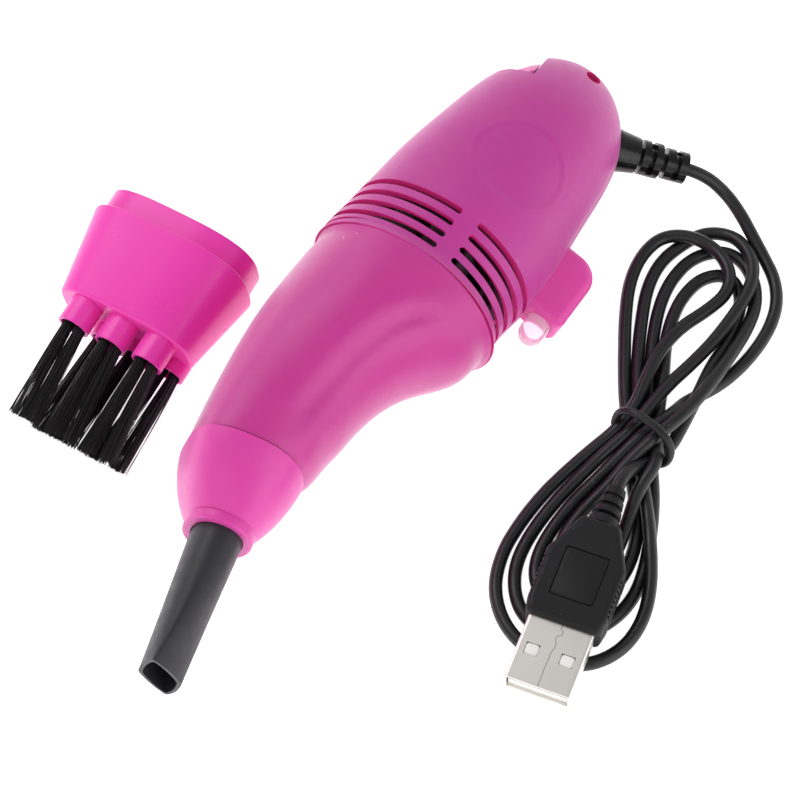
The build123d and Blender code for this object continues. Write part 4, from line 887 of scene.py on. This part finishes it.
# ---------------------------------------------------------------- the plug's details
PLUG_HALF_THICK = 2.25
WINDOW_HALF = (1.22, 1.07)
WINDOW_ASIDE = 3.225
WINDOW_ALONG = 6.1
WINDOW_LOW = 1.2
WINDOW_SUNK = 0.16
WINDOW_HIGH = PLUG_HALF_THICK - WINDOW_SUNK
WINDOW_CORNER = 0.4
PANEL_HALF = (3.88, 4.68)
PANEL_ALONG = -9.2
PANEL_LOW = 3.3
PANEL_HIGH = 3.68
PANEL_CORNER = 0.16
PAD_STEPS = 32
PAD_ROUND = 0.1
PAD_ROUND_MIDDLE = 0.03


def plug_point(along, across, up):
    """A point of the plug by its distances from where its shell leaves the grip."""
    return PLUG_SPOT + PLUG_WAY * along + PLUG_ACROSS * across + PLUG_UP * up


def add_pad(built, centre, half, low, high, corner):
    """Adds a small pad with round corners, its rim rounded down."""
    rings = []
    rim = ((PAD_ROUND_MIDDLE, high - PAD_ROUND_MIDDLE), (PAD_ROUND, high))
    for inset, level in ((0.0, low), (0.0, high - PAD_ROUND), *rim):
        ring = []
        for step in range(PAD_STEPS):
            x, y = rounded_square(2 * math.pi * (step + 0.5) / PAD_STEPS, corner, corner)
            across = centre[0] + x * (half[0] - inset)
            along = centre[1] + y * (half[1] - inset)
            ring.append(built.verts.new(plug_point(along, across, level) * MM))
        rings.append(ring)
    for lower, upper in zip(rings, rings[1:]):
        for step in range(PAD_STEPS):
            following = (step + 1) % PAD_STEPS
            built.faces.new((lower[step], lower[following], upper[following], upper[step]))
    built.faces.new(rings[0][::-1])
    built.faces.new(rings[-1])


for side, side_name in ((-1, "left"), (1, "right")):
    window = (side * WINDOW_ASIDE, WINDOW_ALONG)
    piece(
        f"window_{side_name}",
        lambda built: add_pad(built, window, WINDOW_HALF, WINDOW_LOW, WINDOW_HIGH, WINDOW_CORNER),
        tongue_plastic, "housing",
    )

piece(
    "grip_panel",
    lambda built: add_pad(built, (0, PANEL_ALONG), PANEL_HALF, PANEL_LOW, PANEL_HIGH, PANEL_CORNER),
    black_rubber, "housing",
)

# The folded shell's seam: how far along the plug, and how far aside.
SEAM = (
    (0.15, 0.25), (0.9, 0.3), (1.15, 0.75), (1.9, 0.8), (2.3, 0.1), (3.0, -0.05), (3.6, 0.35), (4.6, 0.4),
    (5.6, 0.1), (7.0, 0.12), (8.6, 0.05), (10.2, 0.1), (12.3, 0.08),
)
SEAM_LINE_RADIUS = 0.07
SEAM_LINE_SIDES = 8
SEAM_LINE_FLATNESS = 0.4


def add_seam(built):
    """Adds the seam as a thin, flat line on the shell."""
    path = [plug_point(along, across, PLUG_HALF_THICK) for along, across in SEAM]
    radii = [SEAM_LINE_RADIUS] * len(SEAM)
    add_tube(built, path, radii, SEAM_LINE_SIDES, flat=SEAM_LINE_FLATNESS, up=PLUG_UP)


piece("shell_seam", add_seam, seam_metal, "housing")

# ---------------------------------------------------------------- the bead in the seam of the housing
BEAD_STATION = -0.25
BEAD_RADIUS = 18.95
BEAD_NARROWER = 0.2
BEAD_ASIDE = -0.5
BEAD_HALF_THICK = 0.24
BEAD_STEPS = 96


def bead_point(step):
    """A point of the bead's ring, which is a little narrower than it is high."""
    angle = 2 * math.pi * step / BEAD_STEPS
    aside = BEAD_ASIDE + (BEAD_RADIUS - BEAD_NARROWER) * math.cos(angle)
    return AXIS + TAIL_WAY * BEAD_STATION + OFFSET_WAY * aside + ACROSS_WAY * (BEAD_RADIUS * math.sin(angle))


def add_bead(built):
    """Adds the bead as a ring."""
    path = [bead_point(step) for step in range(BEAD_STEPS)]
    add_tube(built, path, [BEAD_HALF_THICK] * BEAD_STEPS, TUBE_SIDES, closed=True, up=TAIL_WAY)


piece("seam_bead", add_bead, housing_pink, "housing")

# ---------------------------------------------------------------- floor and light
FLOOR_HALF = 1200.0 * MM
FLOOR_LEVEL = -0.05 * MM
FLOOR_CORNERS = ((-1, -1), (1, -1), (1, 1), (-1, 1))
floor_surface = Surface("floor", tone(246, 246, 246), 0.9, Emission_Color=WHITE, Emission_Strength=0.85)
floor_surface.clouded(tone(243, 243, 244), 0.2, 3, 2.0)
floor_mesh = bpy.data.meshes.new("floor")
floor_mesh.from_pydata(
    [(x * FLOOR_HALF, y * FLOOR_HALF, FLOOR_LEVEL) for x, y in FLOOR_CORNERS], [], [(0, 1, 2, 3)]
)
floor = bpy.data.objects.new("floor", floor_mesh)
floor_mesh.materials.append(floor_surface.material)
bpy.context.scene.collection.objects.link(floor)


def softbox(name, place, aim, size, power):
    """An area light, its place and aim in millimetres and its size in metres."""
    light_data = bpy.data.lights.new(name, "AREA")
    light_data.shape = "RECTANGLE"
    light_data.size, light_data.size_y = size
    light_data.energy = power
    light = bpy.data.objects.new(name, light_data)
    light.location = Vector(place) * MM
    light.rotation_euler = (Vector(aim) - Vector(place)).to_track_quat("-Z", "Y").to_euler()
    bpy.context.scene.collection.objects.link(light)


AIM = (20, 5, 10)
softbox("key_light", (-420, 60, 560), AIM, (0.5, 0.5), 2.0)
softbox("side_light", (480, -60, 200), AIM, (0.3, 0.6), 0.8)
softbox("front_light", (60, -620, 420), AIM, (0.6, 0.3), 0.5)

# A white tent: dim overhead, bright round the horizon.
HORIZON_STRENGTH = 1.15
OVERHEAD_STRENGTH = 0.45
OVERHEAD_FROM = 0.85
world = bpy.data.worlds.new("world")
bpy.context.scene.world = world
world.use_nodes = True
sky = world.node_tree
background = sky.nodes["Background"]
background.inputs["Color"].default_value = WHITE
direction = sky.nodes.new("ShaderNodeTexCoord").outputs["Generated"]
parts = sky.nodes.new("ShaderNodeSeparateXYZ")
rise = sky.nodes.new("ShaderNodeMapRange")
rise.interpolation_type = "SMOOTHSTEP"
rise.inputs["From Min"].default_value = 0.0
rise.inputs["From Max"].default_value = OVERHEAD_FROM
rise.inputs["To Min"].default_value = HORIZON_STRENGTH
rise.inputs["To Max"].default_value = OVERHEAD_STRENGTH
sky.links.new(direction, parts.inputs["Vector"])
sky.links.new(parts.outputs["Z"], rise.inputs["Value"])
sky.links.new(rise.outputs["Result"], background.inputs["Strength"])
